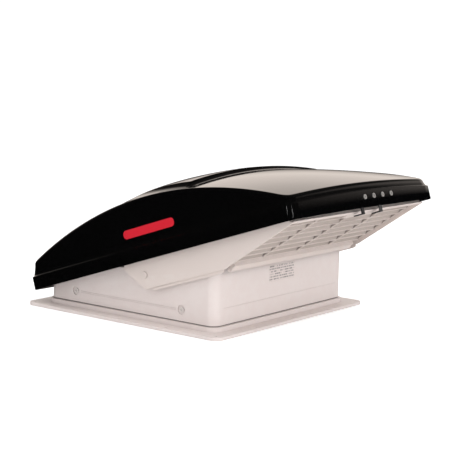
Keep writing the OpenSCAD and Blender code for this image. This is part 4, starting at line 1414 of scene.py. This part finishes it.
@dataclass
class Studio:
    """The camera, the floor, the lights and the white surround.

    Attributes:
        mirrored: Brightness of the surround in reflections, by height.
        mirror_gain: How bright reflections are.
        mirror_tint: The colour of reflections.
        mirror_side: Where the bright side of the surround starts and is full.
        mirror_least: How much of it the other side keeps.
        soft: The surround's soft light at the horizon and overhead.
        horizon: Extra light along the horizon.
        horizon_fade: The heights between which it fades.
        ground_fade: The heights between which reflections start.
        floor_reach: Half the floor's width in metres.
        floor_drop: How far the floor lies below the part, in metres.
        floor_tone: The floor's darkest and palest tone.
        floor_glow: The floor's own light.
        floor_lift: Its own light where the camera sees it.
        aim: What the lights point at.
    """

    azimuth: float = 37.6585
    elevation: float = 7.8694
    roll: float = 1.3326
    eye: Point = (1.346828, -1.6590, 0.424775)
    focal_pixels: float = 1263.906
    frame_pixels: float = 460.0
    sensor: float = 36.0
    mirrored: tuple[Range, ...] = (
        (0.0, 0.14), (0.087, 0.68), (0.139, 0.97), (0.242, 1.0), (0.309, 0.86), (0.48, 0.02), (1.0, 0.02))
    mirror_gain: float = 1.4
    mirror_tint: Colour = (1.0, 0.89, 0.81)
    mirror_side: Range = (0.27, 0.6)
    mirror_least: float = 0.01
    soft: Range = (0.64, 0.74)
    horizon: float = 1.1
    horizon_fade: Range = (0.08, 0.2)
    ground_fade: Range = (-0.015, 0.0)
    floor_reach: float = 60.0
    floor_drop: float = 0.0005
    floor_tone: Range = (0.93, 0.96)
    floor_glow: float = 0.1
    floor_lift: float = 0.4
    aim: Point = (0.05, 0.0, 0.1)
    lights: tuple[Softbox, ...] = (
        Softbox("overhead_softbox", 60, 78, 2.4, (2.2, 2.2), 24, glossy=False),
        Softbox("key_softbox", 78, 27, 2.8, (1.4, 1.2), 25, glossy=False),
        Softbox("fill_softbox", -10, 25, 3.0, (1.6, 1.2), 3, glossy=False),
        Softbox("near_strip", 16, -2, 2.6, (0.035, 1.7), 4.5),
        Softbox("far_strip", 74, -2, 2.6, (0.035, 1.7), 4.5),
    )

    def camera(self) -> None:
        """Place the camera."""
        data = bpy.data.cameras.new("studio_camera")
        data.sensor_width = self.sensor
        data.lens = self.focal_pixels * self.sensor / self.frame_pixels
        data.clip_start, data.clip_end = 0.05, 100.0
        holder = bpy.data.objects.new("studio_camera", data)
        a, r = math.radians(self.azimuth), math.radians(self.roll)
        back = direction(self.azimuth, self.elevation)
        right = Vector((math.cos(a), math.sin(a), 0.0))
        up = back.cross(right)
        across = right * math.cos(r) + up * math.sin(r)
        over = up * math.cos(r) - right * math.sin(r)
        turn = Matrix((across, over, back)).transposed()
        holder.matrix_world = Matrix.Translation(Vector(self.eye)) @ turn.to_4x4()
        bpy.context.scene.collection.objects.link(holder)
        bpy.context.scene.camera = holder

    def floor(self) -> None:
        """Lay the pale floor."""
        reach, drop = self.floor_reach, -self.floor_drop
        mesh = mesh_of("studio_floor", [(-reach, -reach, drop), (reach, -reach, drop), (reach, reach, drop),
                                        (-reach, reach, drop)], [(0, 1, 2, 3)])
        finish = bpy.data.materials.new("floor_paper")
        finish.use_nodes = True
        w = Wiring(finish.node_tree)
        shader = finish.node_tree.nodes["Principled BSDF"]
        tone = w.ramp(w.noise(w.place(), 3.0), (0.0, 1.0), self.floor_tone)
        w.join(tone, shader.inputs["Base Color"])
        shader.inputs["Roughness"].default_value = 0.9
        shader.inputs["Specular IOR Level"].default_value = 0.1
        shader.inputs["Emission Color"].default_value = (1.0, 1.0, 1.0, 1.0)
        seen = w.add("LightPath").outputs["Is Camera Ray"]
        w.join(w.maths("MULTIPLY_ADD", seen, self.floor_lift - self.floor_glow, self.floor_glow),
               shader.inputs["Emission Strength"])
        through = w.add("MixShader", label="Seen through from below")
        w.join(w.add("NewGeometry").outputs["Backfacing"], through.inputs["Fac"])
        w.join(shader.outputs["BSDF"], through.inputs[1])
        w.join(w.add("BsdfTransparent").outputs["BSDF"], through.inputs[2])
        w.join(through.outputs["Shader"], finish.node_tree.nodes["Material Output"].inputs["Surface"])
        mesh.materials.append(finish)
        plane = bpy.data.objects.new("studio_floor", mesh)
        plane.visible_glossy = False
        bpy.context.scene.collection.objects.link(plane)

    def surround(self) -> None:
        """Set the white surround, with a dark lower half in reflections."""
        world = bpy.data.worlds.new("studio_surround")
        bpy.context.scene.world = world
        world.use_nodes = True
        world.node_tree.nodes.clear()
        w = Wiring(world.node_tree)
        path = w.add("LightPath")
        axes = w.axes(w.add("TexCoord").outputs["Generated"])
        height = axes["Z"]
        profile = w.add("ValToRGB", label="Brightness by height in reflections")
        stops = profile.color_ramp.elements
        while len(stops) < len(self.mirrored):
            stops.new(0.5)
        for stop, (place, level) in zip(stops, self.mirrored):
            stop.position = place
            stop.color = (level, level, level, 1.0)
        w.join(height, profile.inputs["Fac"])
        above = w.ramp(height, self.ground_fade)
        a = math.radians(self.azimuth)
        away = w.maths("ADD", w.times(axes["X"], -math.sin(a)), w.times(axes["Y"], math.cos(a)))
        behind = w.ramp(away, self.mirror_side, (self.mirror_least, 1.0))
        shown = w.times(profile.outputs["Color"], above, behind, self.mirror_gain)
        soft = w.maths("MAXIMUM", w.ramp(height, (0.0, 1.0), self.soft),
                       w.ramp(height, self.horizon_fade, (self.horizon, 0.0)))
        glossy = path.outputs["Is Glossy Ray"]
        level = w.maths("ADD", w.times(glossy, shown), w.times(w.maths("SUBTRACT", 1.0, glossy), soft))
        level = w.maths("MAXIMUM", level, path.outputs["Is Camera Ray"])
        light = w.add("Background")
        w.join(w.blend(glossy, (1.0, 1.0, 1.0), self.mirror_tint), light.inputs["Color"])
        w.join(level, light.inputs["Strength"])
        output = w.add("OutputWorld")
        w.join(light.outputs[0], output.inputs["Surface"])

    def build(self) -> None:
        """Set up the studio."""
        self.camera()
        self.floor()
        self.surround()
        bpy.context.scene.view_settings.view_transform = "Standard"
        for box in self.lights:
            box.build(Vector(self.aim))


def main() -> None:
    """Build the ventilator's looks around the frame."""
    logging.basicConfig(level=logging.INFO, format="%(name)s: %(message)s")
    studio = Studio()
    studio.build()
    maker = Maker()
    shell = LidShell()
    for assembly in (Base(), Screen(), Fan(), Controls(), Lift(), Lid(shell), RainShield(Louvre(shell))):
        assembly.build(maker)
        log.info("%s done", type(assembly).__name__)


if __name__ == "__main__":
    main()
